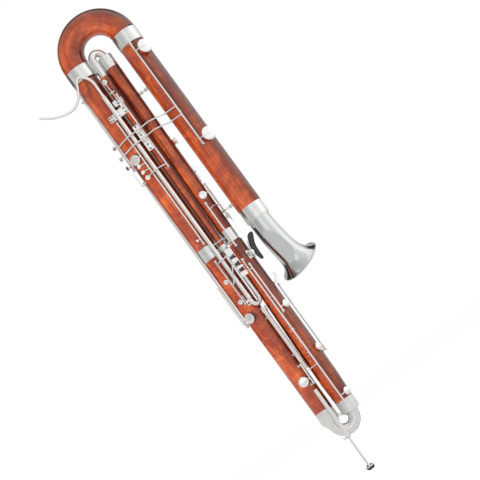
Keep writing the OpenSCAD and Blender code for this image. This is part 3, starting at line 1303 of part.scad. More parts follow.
// Stem that slides along its own length, with the strip that backs the crutch
stem_out = 17.5;
crutch_at = at(around(mid_x(block_z), stem_r, block_angle), block_z)
    + stem_out * [cos(block_angle), sin(block_angle), 0];
crutch_line = [[14.6, 44, 0.35], [13.8, 42.5, 0.72], [11.6, 38, 0.98], [8.6, 31, 1], [6, 25, 0.94],
    [3.4, 18, 0.9],
    [1.5, 11, 0.87], [0.7, 3, 0.84], [0.5, -5, 0.8], [1.1, -13, 0.7], [2.2, -21, 0.58], [2.8, -26, 0.42],
        [3, -28, 0.2]];
module hand_rest_stem() {
    side = crutch_r * 0.88 + 1.2 + seat;
    color(silver) {
        facing(mid_x(block_z), block_angle, block_z) translate([-stem_slide - 5, 0, stem_r]) rotate([0, 90, 0])
            cylinder(d = stem_d, h = stem_slide + 5 + stem_out);
        run([crutch_at + [-side + 0.4, 0, -14], crutch_at + [-side + 1, 0, 0],
            crutch_at + [-side + 1.2, 0, 12],
            crutch_at + [-side + 6.2, 0, 30]], 2.4);
        run([crutch_at + [-side + 1, 0, 0], crutch_at + [-4, -4, 0]], 3.4);
    }
}

module hand_rest_crutch() {
    sides = 20;
    color(black) difference() {
        skin([for (p = crutch_line) [for (j = [0:sides - 1]) crutch_at
            + [p[0] + crutch_r * p[2] * cos(360 * j / sides),
                crutch_r * p[2] * 1.1 * sin(360 * j / sides), p[1]]]], true);
        facing(mid_x(block_z), block_angle, block_z) translate([-9, 0, stem_r]) rotate([0, 90, 0])
            cylinder(d = stem_d + 2 * seat, h = 9 + stem_out + seat);
        translate(crutch_at + [-crutch_r - 4, -7.5, -2.4]) cube([crutch_r + 4, 9.4, 4.8]);
    }
}

module hand_rest_screw() {
    color(silver) facing(mid_x(block_z), block_angle, block_z) {
        translate([0, 0, stem_r + stem_d / 2 + seat]) cylinder(d = 4, h = 8);
        translate([0, 0, block_r + 11.5 + seat]) cylinder(d = 10, h = 4);
    }
}

long_joint_lower();
long_joint_upper();
long_joint_ferrule();
middle_joint_lower();
middle_joint_upper();
middle_joint_ferrule();
middle_joint_cap();
first_joint();
first_joint_ferrules();
top_bow();
bottom_bow();
leadpipe();
tuning_bow();
water_key();
receiver();
bocal();
bell_joint();
bell_ferrule();
bell_tenon();
bell();
u_bend();
u_bend_ferrules();
endpin_tube();
endpin();
endpin_tip();
endpin_screw();
drip_tube();
ferrule_brace();
bell_braces();
leadpipe_clamp();
lever_saddle();
hand_rest_block();
hand_rest_stem();
hand_rest_crutch();
hand_rest_screw();
bell_lever_upper();
bell_lever_lower();
bell_key_upper();
bell_key_lower();
octave_key();
octave_cup();
finger_key_one();
finger_key_two();
thumb_key_upper();
thumb_key_lower();
little_key_one();
little_key_two();
little_key_three();
little_key_four();
roller_one();
roller_two();
roller_three();
link_key();
right_thumb_key();
side_key();
transfer_key();
back_key();
key_posts();
tone_hole_rings();
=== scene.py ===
"""Looks of a contrabassoon: its frame dressed in stained maple, silver plate, black resin and rubber."""

import json
import logging
import math
import random
from dataclasses import dataclass, field
from enum import Enum
from typing import Iterable, Sequence

import bmesh
import bpy
from mathutils import Matrix, Vector

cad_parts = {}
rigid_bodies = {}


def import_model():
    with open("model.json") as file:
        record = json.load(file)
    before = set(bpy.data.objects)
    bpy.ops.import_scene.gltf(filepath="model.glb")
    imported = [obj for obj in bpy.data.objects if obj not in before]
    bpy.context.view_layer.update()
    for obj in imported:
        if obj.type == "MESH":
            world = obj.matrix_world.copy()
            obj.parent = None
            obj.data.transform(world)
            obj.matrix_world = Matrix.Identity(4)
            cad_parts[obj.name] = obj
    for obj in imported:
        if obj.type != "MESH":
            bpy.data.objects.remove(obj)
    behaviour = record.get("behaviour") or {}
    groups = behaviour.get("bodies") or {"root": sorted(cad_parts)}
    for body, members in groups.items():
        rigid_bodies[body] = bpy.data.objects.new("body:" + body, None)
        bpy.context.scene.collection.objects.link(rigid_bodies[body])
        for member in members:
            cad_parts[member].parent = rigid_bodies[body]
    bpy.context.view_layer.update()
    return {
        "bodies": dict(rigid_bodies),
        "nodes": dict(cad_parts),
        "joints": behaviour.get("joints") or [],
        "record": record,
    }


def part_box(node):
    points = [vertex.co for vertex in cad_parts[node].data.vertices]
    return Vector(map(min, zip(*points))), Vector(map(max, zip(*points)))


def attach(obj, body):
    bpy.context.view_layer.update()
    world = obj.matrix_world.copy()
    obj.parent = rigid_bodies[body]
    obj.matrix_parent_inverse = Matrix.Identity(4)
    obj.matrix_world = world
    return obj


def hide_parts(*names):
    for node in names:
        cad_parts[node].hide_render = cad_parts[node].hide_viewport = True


LOG = logging.getLogger("contrabassoon")
MM = 0.001
LARGE_SIDES = 96
MIDDLE_SIDES = 40
SMALL_SIDES = 24
Outline = Sequence[tuple[float, float]]
Triple = tuple[float, float, float]
Span = tuple[float, float]
BMesh = bmesh.types.BMesh
Material = bpy.types.Material
Socket = bpy.types.NodeSocket
Value = Socket | float | Sequence[float]


class Lay(Enum):
    """Which way the fine tool marks of a metal run, as their fineness along each axis."""

    ROUND = (30, 30, 2400)
    ALONG = (2400, 2400, 30)
    FREE = (1300, 1300, 1300)


@dataclass(frozen=True)
class Cloud:
    """Cloudy noise: fineness along each axis, octaves, strength of the fine ones and how much it winds."""

    scale: Triple
    detail: float = 3.0
    rough: float = 0.5
    twist: float = 0.0


class Graph:
    """Node graph of a material or the world, with short ways to add what it needs."""

    def __init__(self, owner: Material | bpy.types.World) -> None:
        """Take over the nodes of a material or world.

        Args:
            owner: whose nodes they are.
        """
        owner.use_nodes = True
        self.output = "OutputWorld" if isinstance(owner, bpy.types.World) else "OutputMaterial"
        self.nodes = owner.node_tree.nodes
        self.links = owner.node_tree.links

    def fill(self, socket: Socket, value: Value) -> None:
        """Link a socket to what varies, or set its number or colour.

        Args:
            socket: an input.
            value: an output, a number or a colour.
        """
        if isinstance(value, Socket):
            self.links.new(value, socket)
        else:
            socket.default_value = value

    def add(self, kind: str, *first: Value, **named: Value) -> bpy.types.Node:
        """New node.

        Args:
            kind: its type, without the words that all types start with.
            first: values of its first inputs, in order.
            named: values of further inputs, by their names in lower case with underscores.

        Returns:
            The node.
        """
        node = self.nodes.new("ShaderNode" + kind)
        for socket, value in zip(node.inputs, first):
            self.fill(socket, value)
        for name, value in named.items():
            self.fill(node.inputs[name.replace("_", " ").title()], value)
        return node

    def place(self, scale: Sequence[float] = (1, 1, 1), move: Sequence[float] = (0, 0, 0),
              source: Socket | None = None) -> Socket:
        """Object coordinates, stretched and moved.

        Args:
            scale: factor along each axis.
            move: shift along each axis.
            source: coordinates to use instead of the object's own.

        Returns:
            The mapped vector.
        """
        if source is None:
            source = self.add("TexCoord").outputs["Object"]
        return self.add("Mapping", vector=source, location=move, scale=scale).outputs["Vector"]

    def cloud(self, kind: Cloud, move: Sequence[float] = (0, 0, 0), source: Socket | None = None) -> Socket:
        """Cloudy noise.

        Args:
            kind: its sizes.
            move: shift along each axis.
            source: coordinates to use instead of the object's own.

        Returns:
            A value near 0.5.
        """
        where = self.place(kind.scale, move, source)
        node = self.add("TexNoise", vector=where, scale=1.0, detail=kind.detail, roughness=kind.rough,
                        distortion=kind.twist)
        return node.outputs["Fac"]

    def work(self, kind: str, *values: Socket | float) -> Socket:
        """Arithmetic on values.

        Args:
            kind: the operation.
            values: one to three outputs or numbers.

        Returns:
            The result.
        """
        node = self.add("Math", *values)
        node.operation = kind
        return node.outputs["Value"]

    def blend(self, layers: Iterable[tuple[Socket, float]]) -> Socket:
        """Weighted sum.

        Args:
            layers: outputs and their shares.

        Returns:
            The sum.
        """
        total, *others = [self.work("MULTIPLY", layer, share) for layer, share in layers]
        for other in others:
            total = self.work("ADD", total, other)
        return total

    def ramp(self, value: Socket, stops: Sequence[tuple[float, Triple]]) -> Socket:
        """Colour that follows a value.

        Args:
            value: from 0 to 1.
            stops: places and their colours.

        Returns:
            The colour.
        """
        node = self.add("ValToRGB", value)
        band = node.color_ramp
        while len(band.elements) < len(stops):
            band.elements.new(0.5)
        for element, (where, colour) in zip(band.elements, stops):
            element.position = where
            element.color = (*colour, 1)
        return node.outputs["Color"]

    def spread(self, value: Socket, span: Span, to: Span) -> Socket:
        """Value carried from its own span to another and kept inside it."""
        return self.add("MapRange", value, *span, *to).outputs["Result"]

    def bump(self, height: Socket, strength: float, depth: float, under: Socket | None = None) -> Socket:
        """Relief from a height.

        Args:
            height: the height pattern.
            strength: how much of it shows.
            depth: its depth in metres.
            under: relief that it lies on.

        Returns:
            The bent normal.
        """
        node = self.add("Bump", strength=strength, distance=depth, height=height)
        if under is not None:
            self.fill(node.inputs["Normal"], under)
        return node.outputs["Normal"]


    def by_ray(self, lit: bpy.types.Node, mirrored: bpy.types.Node, seen: bpy.types.Node) -> None:
        """End the graph with one shader for light, one for reflections and one for the camera.

        Args:
            lit: what lights the rest.
            mirrored: what shows in reflections.
            seen: what the camera sees.
        """
        rays = self.add("LightPath").outputs
        unseen = self.add("MixShader", rays["Is Glossy Ray"], lit.outputs[0], mirrored.outputs[0])
        shown = self.add("MixShader", rays["Is Camera Ray"], unseen.outputs[0], seen.outputs[0])
        self.add(self.output, shown.outputs[0])


class Surface(Graph):
    """Graph of one finish, with its shader."""

    def __init__(self, name: str) -> None:
        """Start a material with its own shader.

        Args:
            name: the material's name.
        """
        self.material = bpy.data.materials.new(name)
        super().__init__(self.material)
        self.shader = self.nodes["Principled BSDF"]

    def dress(self, **values: Socket | float | Sequence[float]) -> Material:
        """Fill sockets of the shader.

        Args:
            values: socket names in lower case with underscores, and their outputs, numbers or colours.

        Returns:
            The material.
        """
        for name, value in values.items():
            self.fill(self.shader.inputs[name.replace("_", " ").title().replace("Ior", "IOR")], value)
        return self.material


@dataclass(frozen=True)
class StainedMaple:
    """Figured maple under red-brown stain and satin lacquer."""

    name: str = "stained maple"
    shift: Triple = (0.0, 0.0, 0.0)
    bend_centre: Span | None = None
    bend_radius: float = 0.074
    stain: tuple[tuple[float, Triple], ...] = ((0.3, (0.03, 0.003, 0.001)), (0.49, (0.15, 0.016, 0.0015)),
                                               (0.68, (0.42, 0.085, 0.01)))
    cloud: Cloud = Cloud((30, 30, 16), 4.0, 0.6, 0.4)
    curl: Cloud = Cloud((26, 26, 105), 2.0, 0.45, 0.7)
    grain: Cloud = Cloud((420, 420, 9), 5.0, 0.62, 0.25)
    fleck: Cloud = Cloud((1500, 1500, 90), 2.0)
    shares: tuple[float, ...] = (0.36, 0.14, 0.36, 0.14)
    rough: Span = (0.31, 0.43)
    grain_relief: Span = (0.10, 0.0003)
    fleck_relief: Span = (0.05, 0.0001)

    def along_bend(self, surface: Surface) -> Socket:
        """Coordinates whose third axis runs round the bend instead of up.

        Args:
            surface: the material's graph.

        Returns:
            The bent vector.
        """
        place = surface.add("SeparateXYZ", surface.add("TexCoord").outputs["Object"]).outputs
        across = surface.work("SUBTRACT", place["X"], self.bend_centre[0])
        above = surface.work("SUBTRACT", place["Z"], self.bend_centre[1])
        squares = [surface.work("MULTIPLY", side, side) for side in (across, above)]
        reach = surface.work("SQRT", surface.work("ADD", *squares))
        turn = surface.work("MULTIPLY", surface.work("ARCTAN2", across, above), self.bend_radius)
        return surface.add("CombineXYZ", reach, place["Y"], turn).outputs["Vector"]

    def material(self) -> Material:
        """Mix cloud, curl, grain and fleck under the lacquer.

        Returns:
            The material.
        """
        surface = Surface(self.name)
        source = self.along_bend(surface) if self.bend_centre else None
        kinds = (self.cloud, self.curl, self.grain, self.fleck)
        layers = [surface.cloud(kind, self.shift, source) for kind in kinds]
        _, _, grain, fleck = layers
        relief = surface.bump(grain, *self.grain_relief)
        return surface.dress(base_color=surface.ramp(surface.blend(zip(layers, self.shares)), self.stain),
                             roughness=surface.spread(grain, (0.3, 0.7), self.rough),
                             normal=surface.bump(fleck, *self.fleck_relief, relief),
                             ior=1.45, coat_weight=0.9, coat_roughness=0.14, coat_ior=1.55)


@dataclass(frozen=True)
class SilverPlate:
    """Silver-plated metal with fine tool marks, hand wear and a little tarnish."""

    name: str = "silver plate"
    lay: Lay = Lay.FREE
    rough: Span = (0.16, 0.3)
    bright: Triple = (0.90, 0.885, 0.86)
    dull: Triple = (0.80, 0.78, 0.75)
    marks: float = 0.05
    wear: Cloud = Cloud((70, 70, 45), 4.0, 0.65, 0.5)
    haze: Cloud = Cloud((18, 18, 14))
    haze_shift: Triple = (0.3, 0.1, 0.2)
    shares: Span = (0.55, 0.45)

    def material(self) -> Material:
        """Mix wear and haze over marks that run with the lay.

        Returns:
            The material.
        """
        surface = Surface(self.name)
        wear = surface.cloud(self.wear)
        tone = surface.blend(zip((wear, surface.cloud(self.haze, self.haze_shift)), self.shares))
        marks = surface.cloud(Cloud(self.lay.value, 3.0, 0.6))
        return surface.dress(base_color=surface.ramp(wear, ((0.28, self.dull), (0.5, self.bright))),
                             roughness=surface.spread(tone, (0.36, 0.64), self.rough),
                             normal=surface.bump(marks, self.marks, 0.0001), metallic=1.0)


@dataclass(frozen=True)
class Moulded:
    """Black resin or rubber: its colours, roughness, fineness and strength of its pebbling, and gloss."""

    name: str
    colour: Triple
    worn: Triple
    rough: Span
    pebble: float
    relief: float
    gloss: float

    def material(self) -> Material:
        """Rub it lighter in patches that fall at random.

        Returns:
            The material.
        """
        surface = Surface(self.name)
        wear = surface.cloud(Cloud((90, 90, 60), 4.0, 0.6, 0.4))
        pebble = surface.cloud(Cloud((self.pebble,) * 3))
        return surface.dress(base_color=surface.ramp(wear, ((0.35, self.colour), (0.7, self.worn))),
                             roughness=surface.spread(wear, (0.35, 0.65), self.rough),
                             normal=surface.bump(pebble, self.relief, 0.0002),
                             ior=1.5, coat_weight=self.gloss, coat_roughness=0.06)


@dataclass(frozen=True)
class PadSkin:
    """Tan kid leather of the pads."""

    name: str = "tan pad skin"
    light: Triple = (0.66, 0.45, 0.25)
    dark: Triple = (0.38, 0.22, 0.10)
    pore_fineness: float = 1900.0

    def material(self) -> Material:
        """Stain the skin and pebble it with pores.

        Returns:
            The material.
        """
        surface = Surface(self.name)
        stain = surface.cloud(Cloud((260, 260, 260), 4.0, 0.6))
        cells = surface.add("TexVoronoi", vector=surface.place(), scale=self.pore_fineness)
        return surface.dress(base_color=surface.ramp(stain, ((0.32, self.dark), (0.62, self.light))),
                             roughness=surface.spread(stain, (0.3, 0.7), (0.55, 0.75)),
                             normal=surface.bump(cells.outputs["Distance"], 0.25, 0.0002))


@dataclass(frozen=True)
class BluedSteel:
    """Tempered spring steel."""

    name: str = "blued spring steel"
    blue: Triple = (0.05, 0.07, 0.16)
    straw: Triple = (0.16, 0.14, 0.16)

    def material(self) -> Material:
        """Let the heat colours run into each other over drawn marks.

        Returns:
            The material.
        """
        surface = Surface(self.name)
        heat = surface.cloud(Cloud((60, 60, 90), 2.0))
        marks = surface.cloud(Cloud((2400, 2400, 60)))
        return surface.dress(base_color=surface.ramp(heat, ((0.35, self.blue), (0.65, self.straw))),
                             roughness=surface.spread(heat, (0.3, 0.7), (0.2, 0.32)),
                             normal=surface.bump(marks, 0.05, 0.0001), metallic=1.0)


class Finish(Enum):
    """The finishes that several pieces share."""

    KEYS = SilverPlate()
    RODS = SilverPlate("silver plate of tubes", Lay.ALONG, (0.12, 0.24))
    FERRULES = SilverPlate("satin silver plate", Lay.ROUND, (0.2, 0.27), (0.86, 0.855, 0.84),
                           (0.77, 0.76, 0.74))
    CUPS = SilverPlate("polished plate of cups", Lay.FREE, (0.07, 0.15), (0.97, 0.965, 0.95),
                       (0.9, 0.89, 0.87), 0.02)
    BELL = SilverPlate("polished silver plate", Lay.ROUND, (0.04, 0.09), (0.68, 0.69, 0.685),
                       (0.63, 0.635, 0.63), 0.01)
    RESIN = Moulded("black resin", (0.004, 0.004, 0.0045), (0.012, 0.0115, 0.011), (0.12, 0.22), 1400.0,
                    0.03, 0.6)
    RUBBER = Moulded("foot rubber", (0.014, 0.014, 0.015), (0.05, 0.048, 0.045), (0.62, 0.82), 2600.0,
                     0.3, 0.0)
    PADS = PadSkin()
    SPRINGS = BluedSteel()


@dataclass
class Finishes:
    """Materials of the instrument, each made at its first use and shared."""

    bend_centre: Span = (0.0608, 1.2335)
    plank: Triple = (1.85, 1.11, 2.59)
    made: dict[str, Material] = field(default_factory=dict)

    def get(self, finish: Finish | StainedMaple) -> Material:
        """The material of a finish.

        Args:
            finish: a shared finish, or the maple of one joint.

        Returns:
            Its material.
        """
        kind = finish.value if isinstance(finish, Finish) else finish
        if kind.name not in self.made:
            self.made[kind.name] = kind.material()
        return self.made[kind.name]

    def maple(self, number: int) -> Material:
        """Maple from another part of the plank for each joint, by its number."""
        return self.get(StainedMaple(f"stained maple {number}", tuple(number * step for step in self.plank)))

    def bent_maple(self) -> Material:
        """Maple whose figure runs round the wooden bend."""
        return self.get(StainedMaple("stained maple of the bend", (2.0, 1.0, 3.0), self.bend_centre))


@dataclass
class Bench:
    """Puts meshes into the scene, each on its CAD body and with its finish."""

    frame: dict
    finishes: Finishes = field(default_factory=Finishes)
    body_of: dict[str, str] = field(default_factory=dict)
    slot_of: dict[str, str] = field(default_factory=dict)
    weld: float = 2e-6
    flat: float = 0.6
    node_crease: float = 36.0
    node_edge: float = 0.0002
    count: int = 0

    def __post_init__(self) -> None:
        """Read which body and slot each node has."""
        record = self.frame["record"]
        for body, members in record["behaviour"]["bodies"].items():
            self.body_of.update({name: body for name in members})
        self.slot_of.update({part["node"]: part["material_slot"] for part in record["subparts"]})

    def add_to(self, node: str, mesh: BMesh, material: Material, name: str,
               crease: float = 32.0, edge: float = 0.0) -> bpy.types.Object:
        """Turn a mesh into a piece that rides with a CAD node and has its finish.

        Args:
            node: the CAD node.
            mesh: the mesh, in metres and in place; it is freed.
            material: its finish.
            name: the piece's name.
            crease: angle in degrees past which an edge stays sharp.
            edge: width of the rounding on sharp edges, in metres.

        Returns:
            The object.
        """
        name = name.replace(" ", "-")
        data = bpy.data.meshes.new(name)
        mesh.to_mesh(data)
        mesh.free()
        data.materials.append(material)
        data.shade_smooth()
        data.set_sharp_from_angle(angle=math.radians(crease))
        piece = put_in(name, data)
        if edge > 0:
            rounding = piece.modifiers.new("rounded edges", "BEVEL")
            rounding.width = edge
            rounding.segments = 2
            rounding.limit_method = "ANGLE"
            rounding.angle_limit = math.radians(crease)
        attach(piece, self.body_of[node])
        self.count += 1
        LOG.info("%s: %d faces on %s", name, len(data.polygons), self.body_of[node])
        return piece

    def stand_in(self, node: str, mesh: BMesh, material: Material, name: str = "",
                 crease: float = 32.0, edge: float = 0.0) -> None:
        """Like add_to, but in place of the CAD node; the name is the node's if left out."""
        piece = self.add_to(node, mesh, material, name or node.replace("_", " "), crease, edge)
        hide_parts(node)

    def smooth_node(self, node: str, material: Material) -> None:
        """Put a smooth copy of a CAD node with rounded edges in its place.

        Args:
            node: the CAD node.
            material: its finish.
        """
        mesh = bmesh.new()
        mesh.from_mesh(self.frame["nodes"][node].data)
        for layer in list(mesh.loops.layers.uv):
            mesh.loops.layers.uv.remove(layer)
        bmesh.ops.remove_doubles(mesh, verts=mesh.verts, dist=self.weld)
        bmesh.ops.dissolve_limit(mesh, angle_limit=math.radians(self.flat), verts=mesh.verts,
                                 edges=mesh.edges, use_dissolve_boundaries=False, delimit=set())
        self.frame["nodes"][node].data.materials.clear()
        self.frame["nodes"][node].data.materials.append(material)
        self.stand_in(node, mesh, material, crease=self.node_crease, edge=self.node_edge)


def chance_turn() -> Matrix:
    """Turn of a screw about its own axis, by chance."""
    return Matrix.Rotation(random.uniform(0, math.pi), 4, "Z")


def put_in(name: str, data: bpy.types.ID, place: Matrix | None = None) -> bpy.types.Object:
    """Put an object into the scene.

    Args:
        name: its name.
        data: its mesh, lamp or camera.
        place: where it stands; the origin if left out.

    Returns:
        The object.
    """
    thing = bpy.data.objects.new(name, data)
    bpy.context.scene.collection.objects.link(thing)
    if place is not None:
        thing.matrix_world = place
    return thing


def looking(eye: Triple, aim: Triple) -> Matrix:
    """Place of a lamp or camera that looks from one point to another."""
    way = (Vector(aim) - Vector(eye)).normalized()
    return Matrix.Translation(eye) @ way.to_track_quat("-Z", "Y").to_matrix().to_4x4()


def lathe(outlines: Iterable[Outline], place: Matrix, steps: int = 64) -> BMesh:
    """Turned shapes from closed or pole-to-pole outlines.

    Args:
        outlines: lists of height and radius in millimetres; one that starts or ends off the axis is closed.
        place: where the axis stands, in millimetres.
        steps: number of sides.

    Returns:
        The mesh, in metres and in place.
    """
    mesh = bmesh.new()
    for outline in outlines:
        points = [mesh.verts.new((radius, 0, height)) for height, radius in outline]
        edges = [mesh.edges.new(pair) for pair in zip(points, points[1:])]
        if outline[0][1] > 1e-6 or outline[-1][1] > 1e-6:
            edges.append(mesh.edges.new((points[-1], points[0])))
        bmesh.ops.spin(mesh, geom=[*points, *edges], cent=(0, 0, 0), axis=(0, 0, 1), angle=2 * math.pi,
                       steps=steps, use_merge=True, use_duplicate=False)
    bmesh.ops.remove_doubles(mesh, verts=mesh.verts, dist=1e-5)
    bmesh.ops.recalc_face_normals(mesh, faces=mesh.faces)
    bmesh.ops.transform(mesh, matrix=Matrix.Scale(MM, 4) @ place, verts=mesh.verts)
    return mesh


def merged(meshes: Iterable[BMesh]) -> BMesh:
    """Several meshes as one.

    Args:
        meshes: the meshes; they are freed.

    Returns:
        The joined mesh.
    """
    whole = bmesh.new()
    for mesh in meshes:
        data = bpy.data.meshes.new("part")
        mesh.to_mesh(data)
        mesh.free()
        whole.from_mesh(data)
        bpy.data.meshes.remove(data)
    return whole


def upright(x: float, y: float, z: float = 0.0) -> Matrix:
    """Place of a vertical axis at x, y, in millimetres."""
    return Matrix.Translation((x, y, z))


def facing(x: float, y: float, z: float, angle: float, reach: float) -> Matrix:
    """Place of an axis that points out of a tube at x, y, turned to the right from the front."""
    turn = Matrix.Rotation(math.radians(angle), 4, "Z") @ Matrix.Rotation(math.radians(90), 4, "X")
    return Matrix.Translation((x, y, z)) @ turn @ Matrix.Translation((0, 0, reach))


def sweep(path: Sequence[Vector], sizes: Sequence[tuple[float, float]], sides: int,
          axes: Sequence[Matrix] | None = None, caps: bool = True) -> BMesh:
    """Bar swept along a path by extruding one ring from place to place.

    Args:
        path: centres in millimetres.
        sizes: half width and half depth at each centre.
        sides: number of sides.
        axes: turn of the ring at each centre; it follows the path if left out.
        caps: whether the ends are closed.

    Returns:
        The mesh, in metres.
    """
    places = []
    turn = None
    for i, centre in enumerate(path):
        if axes is not None:
            turn = axes[i]
        else:
            way = (path[min(i + 1, len(path) - 1)] - path[max(i - 1, 0)]).normalized()
            before = turn.col[2].to_3d() if turn is not None else Vector((0, 0, 1))
            turn = before.rotation_difference(way).to_matrix().to_4x4() @ (turn or Matrix.Identity(4))
        size = Matrix.Diagonal((sizes[i][0], sizes[i][1], 1, 1))
        places.append(Matrix.Translation(centre) @ turn @ size)
    mesh = bmesh.new()
    ring = bmesh.ops.create_circle(mesh, segments=sides, radius=1.0, cap_ends=False)["verts"]
    edges = list(mesh.edges)
    bmesh.ops.transform(mesh, matrix=places[0], verts=ring)
    first = list(edges)
    for before, after in zip(places, places[1:]):
        grown = bmesh.ops.extrude_edge_only(mesh, edges=edges)["geom"]
        ring = [part for part in grown if isinstance(part, bmesh.types.BMVert)]
        edges = [part for part in grown if isinstance(part, bmesh.types.BMEdge) and
                 all(vert in ring for vert in part.verts)]
        bmesh.ops.transform(mesh, matrix=after @ before.inverted(), verts=ring)
    if caps:
        bmesh.ops.edgeloop_fill(mesh, edges=first)
        bmesh.ops.edgeloop_fill(mesh, edges=edges)
    bmesh.ops.recalc_face_normals(mesh, faces=mesh.faces)
    bmesh.ops.transform(mesh, matrix=Matrix.Scale(MM, 4), verts=mesh.verts)
    return mesh


def smooth_path(points: Sequence[Sequence[float]], steps: int) -> list[Vector]:
    """Smooth curve through points of any number of values.

    Args:
        points: the points that it passes.
        steps: pieces between two points.

    Returns:
        The curve's points.
    """
    given = [Vector(point) for point in points]
    last = len(given) - 1
    curve = []
    for i in range(last):
        a, b, c, e = given[max(i - 1, 0)], given[i], given[i + 1], given[min(i + 2, last)]
        for k in range(steps):
            t = k / steps
            curve.append(0.5 * (2 * b + (c - a) * t + (2 * a - 5 * b + 4 * c - e) * t ** 2
                                + (3 * b - a - 3 * c + e) * t ** 3))
    return [*curve, given[last]]


@dataclass(frozen=True)
class Tube:
    """One wooden tube: its axis, outline, the height where its axis is given and its lean to the right."""

    x: float
    y: float
    outline: Outline
    foot: float = 0.0
    lean: float = 0.0

    def axis_x(self, z: float) -> float:
        """Sideways place of the axis at height z."""
        return self.x + (z - self.foot) * math.tan(math.radians(self.lean))

    def radius(self, z: float) -> float:
        """Outer radius at a height.

        Args:
            z: the height in millimetres.

        Returns:
            The radius in millimetres.
        """
        for (low, before), (high, after) in zip(self.outline, self.outline[1:]):
            if z <= high:
                return before + (after - before) * (z - low) / (high - low)
        return self.outline[-1][1]

    def place(self) -> Matrix:
        """Place of the leaning axis, with heights kept along it."""
        turn = Matrix.Rotation(math.radians(self.lean), 4, "Y")
        return Matrix.Translation((self.x, self.y, self.foot)) @ turn @ Matrix.Translation((0, 0, -self.foot))

    def out(self, z: float, reach: float, angle: float) -> Span:
        """Point at a distance from the axis, at an angle from the front, positive to the right."""
        turn = math.radians(angle)
        return self.axis_x(z) + reach * math.sin(turn), self.y - reach * math.cos(turn)

    def beside(self, z: float, gap: float, angle: float) -> Span:
        """Point at a gap from the tube's surface, at an angle from the front."""
        return self.out(z, self.radius(z) + gap, angle)

    def facing(self, z: float, angle: float, gap: float) -> Matrix:
        """Place of an axis that points out of the tube, at a gap from its surface."""
        return facing(self.axis_x(z), self.y, z, angle, self.radius(z) + gap)


@dataclass(frozen=True)
class Tubes:
    """The four wooden tubes and the hinge lines that two sub-assemblies share."""

    long: Tube = Tube(-13.2, 29.0, ((153.0, 24.0), (1200.0, 31.0)))
    middle: Tube = Tube(42.3, 29.0, ((153.0, 24.2), (173.0, 24.2), (173.0, 23.9), (230.0, 26.0),
                                     (300.0, 26.0), (638.0, 21.5), (638.0, 19.2), (1177.0, 19.2)),
                        146.0, 0.95)
    first: Tube = Tube(22.0, 12.0, ((640.0, 9.0), (1196.0, 12.4)), 640.0, 0.9)
    bell: Tube = Tube(134.8, 29.0, ((690.0, 33.0), (1195.0, 33.0)))

    def finger_hinge(self) -> Span:
        """Hinge line of the finger keys."""
        return self.long.beside(1050, 6.5, 4)

    def low_thumb_hinge(self) -> Span:
        """Hinge line of the lower thumb key."""
        return self.long.beside(900, 4.6, -66)

    def back_hinge(self) -> Span:
        """Hinge line of the back key."""
        return self.middle.out(884, 24.6, 132)


@dataclass(frozen=True)
class Barrel:
    """One turned joint: its node, tube, ends, run of radii, bore and softening of its ends."""

    node: str
    tube: Tube
    low: float
    high: float
    radii: Outline
    bore: float
    soft: float = 0.5

    def outline(self) -> list[Span]:
        """Outline of a wooden tube with softened ends.

        Returns:
            Heights and radii, round the wall.
        """
        low, high, soft = self.low, self.high, self.soft
        first, last = self.radii[0][1], self.radii[-1][1]
        outer = [(low, first - soft), (low + 0.3 * soft, first - 0.3 * soft), (low + soft, first)]
        outer += [point for point in self.radii if low + soft < point[0] < high - soft]
        outer += [(high - soft, last), (high - 0.3 * soft, last - 0.3 * soft), (high, last - soft)]
        return [*outer, (high, self.bore), (low, self.bore)]


@dataclass
class WoodenJoints:
    """The long, middle, first and bell joints, turned smooth with softened ends."""

    tubes: Tubes = Tubes()
    groove: Outline = ((236.6, 26), (237.0, 25.7), (237.3, 25.4), (237.9, 25.4), (238.2, 25.7), (238.6, 26))

    def barrels(self) -> list[Barrel]:
        """The six turned pieces.

        Returns:
            Each with its sizes.
        """
        t = self.tubes
        knee = ((173, 23.9), (230, 26), *self.groove, (300, 26), (638, 21.5), (640.5, 19.6))
        return [
            Barrel("long_joint_lower", t.long, 180.1, 636, ((180, 24.18), (636, 27.23)), 20),
            Barrel("long_joint_upper", t.long, 670, 1188, ((670, 27.46), (1188, 30.92)), 20),
            Barrel("middle_joint_lower", t.middle, 173.1, 642, knee, 15),
            Barrel("middle_joint_upper", t.middle, 676, 1177, ((676, 19.2), (1177, 19.2)), 12),
            Barrel("first_joint", t.first, 649, 1166, ((649, 9.06), (1166, 12.22)), 5.5),
            Barrel("bell_joint", t.bell, 690, 1195, ((690, 33), (1195, 33)), 26),
        ]

    def build(self, bench: Bench) -> None:
        """Make the joints and put them on the instrument.

        Args:
            bench: where they go.
        """
        for number, barrel in enumerate(self.barrels(), 1):
            mesh = lathe([barrel.outline()], barrel.tube.place(), LARGE_SIDES)
            bench.stand_in(barrel.node, mesh, bench.finishes.maple(number))


